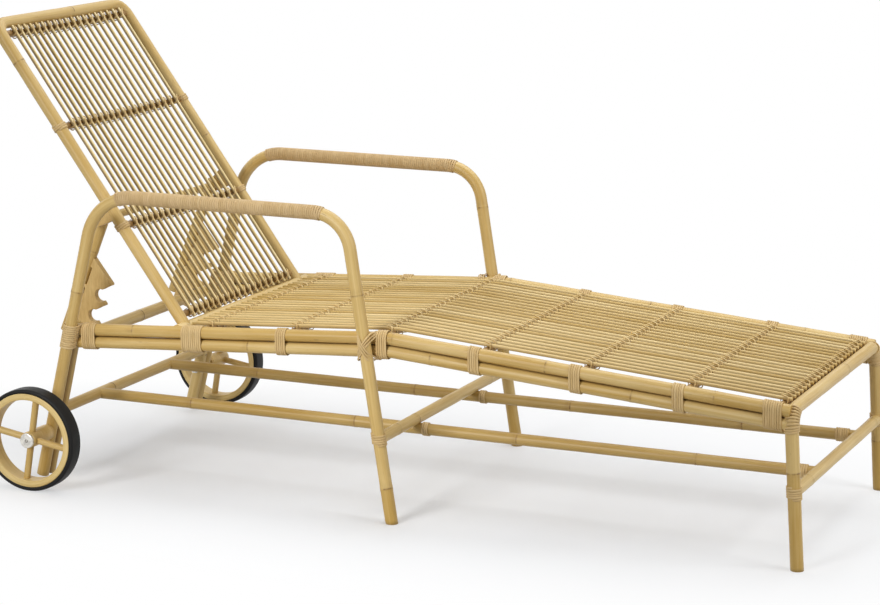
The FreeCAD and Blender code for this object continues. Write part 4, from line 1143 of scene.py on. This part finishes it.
def lathe(name, profile, y, look, node=None, body="frame", segments=128):
    """Turned ring about the axle from (radius, across) pairs."""
    radius, width = np.array(profile).T
    turn = circle(segments)[:, None]
    axle = rear_leg(WHEEL_R, 0)
    rows = ((axle.x + radius * np.sin(turn), y + width, axle.z + radius * np.cos(turn)),
            (radius, width, turn * TURNED_GRAIN))
    sections, grain = [np.stack(np.broadcast_arrays(*row), axis=-1) for row in rows]
    skin = Skin()
    skin.sweep(sections, grain, tone=0.0, closed=True)
    skin.build(name, look, node, body)


def rounded_box(low_r, high_r, half_width, corner, steps=4):
    """Closed profile of a ring with rounded edges."""
    points = []
    corners = ((high_r - corner, half_width - corner), (high_r - corner, -half_width + corner),
               (low_r + corner, -half_width + corner), (low_r + corner, half_width - corner))
    for n, (r, w) in enumerate(corners):
        for k in range(steps + 1):
            a = math.pi / 2 * (1 - n - k / steps)
            points.append((r + corner * math.cos(a), w + corner * math.sin(a)))
    return points


def tyre_profile(steps=8):
    """Tyre with round shoulders and a slightly crowned tread."""
    half = TYRE_W / 2
    shoulder = WHEEL_R - TYRE_CROWN - TYRE_ROUND
    edge = half - TYRE_ROUND
    points = [(WHEEL_R - TYRE_T, half)]
    for k in range(steps + 1):
        a = math.pi / 2 * k / steps
        points.append((shoulder + TYRE_ROUND * math.sin(a), edge + TYRE_ROUND * math.cos(a)))
    points.append((WHEEL_R, 0.0))
    return points + [(r, -w) for r, w in points[-2::-1]]


def wheels():
    """Tyre, rim, hub and spokes of each wheel, and the screw in each axle cap."""
    rim_out = WHEEL_R - TYRE_T
    rim_in = rim_out - RIM_T
    rim = rounded_box(rim_in, rim_out, RIM_W / 2, RIM_ROUND)
    hub = rounded_box(BUSH_R, HUB_R, HUB_L / 2, HUB_ROUND)
    screw = rounded_box(*CAP_SCREW)
    for n, side, sign in SIDES:
        y = sign * WHEEL_Y
        body = f"wheel_{side}"
        lathe(f"tyre_ring_{side}", tyre_profile(), y, "rubber", f"tyre_{side}", body)
        lathe(f"rim_ring_{side}", rim, y, "slat", f"wheel_rim_{side}", body)
        lathe(f"hub_ring_{side}", hub, sign * HUB_Y, "pole", f"wheel_hub_{side}", body)
        lathe(f"cap_screw_{side}", screw, sign * CAP_FACE_Y, "screw", segments=32)
        skin = Skin()
        centre = rear_leg(WHEEL_R, y)
        for k in range(SPOKES):
            a = SPOKE_TURN + 2 * math.pi * k / SPOKES
            out = heading(math.pi / 2 - a)
            path = Path([centre + out * (HUB_R - SPOKE_SINK), centre + out * (rim_in + SPOKE_SINK)])
            pole(skin, path, SPOKE_R, Y_AXIS, seed=80 + SPOKES * n + k, rings=(), sides=16)
        skin.build(f"spoke_rods_{side}", "pole", f"wheel_spokes_{side}", body)


# Studio


def studio():
    """White surroundings, pale floor, soft lights and the photograph's camera."""
    scene = bpy.context.scene
    scene.view_settings.view_transform = "Standard"
    floor()
    scene.world = bpy.data.worlds.new("studio")
    s = Shader(scene.world)
    glows = [s.add("ShaderNodeBackground", Color=WHITE, Strength=v) for v in (WORLD_LIGHT, 1.0)]
    mix = s.add("ShaderNodeMixShader", i0=s.seen(), i1=glows[0], i2=glows[1])
    s.add("ShaderNodeOutputWorld", Surface=mix)
    for name, settings in LIGHTS.items():
        softbox(name, *settings)
    camera()


def softbox(name, where, target, size, watts, spread_angle):
    light = bpy.data.lights.new(name, "AREA")
    light.shape = "SQUARE"
    light.size = size
    light.energy = watts
    light.spread = spread_angle
    obj = add_object(name, light)
    obj.location = where
    obj.rotation_euler = (Vector(target) - Vector(where)).to_track_quat("-Z", "Y").to_euler()


def floor():
    """White floor that keeps the soft shadow, fades to pure white, and throws back little light."""
    bpy.ops.mesh.primitive_plane_add(size=60, location=(0, 0, 0))
    plane = bpy.context.object
    plane.name = "floor"
    s = new_look("floor_look")
    seen = s.seen()
    oval = s.scaled(s.here(), FLOOR_OVAL)
    away = s.add("ShaderNodeVectorMath", {"operation": "LENGTH"}, out="Value", i0=oval)
    fade = s.remap(away, *FLOOR_FADE, *FLOOR_GLOW)
    shown = s.mix(seen, FLOOR_BOUNCE, FLOOR_COLOUR)
    matt = s.add("ShaderNodeBsdfDiffuse", Color=shown)
    glow = s.add("ShaderNodeEmission", Color=WHITE, Strength=1.0)
    mix = s.add("ShaderNodeMixShader", i0=s.math("MULTIPLY", seen, fade), i1=matt, i2=glow)
    s.add("ShaderNodeOutputMaterial", Surface=mix)
    plane.data.materials.append(s.owner)


def camera():
    data = bpy.data.cameras.new("photo")
    data.sensor_fit = "HORIZONTAL"
    data.sensor_width = SENSOR_WIDTH
    data.lens = SENSOR_WIDTH * FOCAL_PIXELS / IMAGE_WIDTH
    data.shift_x = -PRINCIPAL_OFFSET[0] / IMAGE_WIDTH
    data.shift_y = PRINCIPAL_OFFSET[1] / IMAGE_WIDTH
    data.clip_end = 200
    obj = add_object("photo", data)
    turns = ((CAMERA_YAW, "Z"), (math.pi / 2 - CAMERA_PITCH, "X"), (-CAMERA_ROLL, "Z"))
    yaw, pitch, roll = [Matrix.Rotation(angle, 4, axis) for angle, axis in turns]
    obj.matrix_world = Matrix.Translation(CAMERA_PLACE) @ yaw @ pitch @ roll
    bpy.context.scene.camera = obj


def dress_cad_nodes():
    """Materials for the CAD nodes that stay in view."""
    finishes = {
        "steel": ("axle_right", "axle_left", "axle_nuts", "hinge_pins"),
        "wood": ("axle_washers", "joint_dowels"),
        "plastic": ("wheel_bush_right", "wheel_bush_left"),
    }
    for look, nodes in finishes.items():
        for node in nodes:
            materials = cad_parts[node].data.materials
            materials.clear()
            materials.append(MATERIALS[look])


def main():
    frame_poles()
    seat()
    rail_lashings()
    leg_lashings()
    cross_lashings()
    stretcher_lashings()
    arm_wraps()
    backrest()
    prop()
    wheels()
    dress_cad_nodes()
    studio()


main()
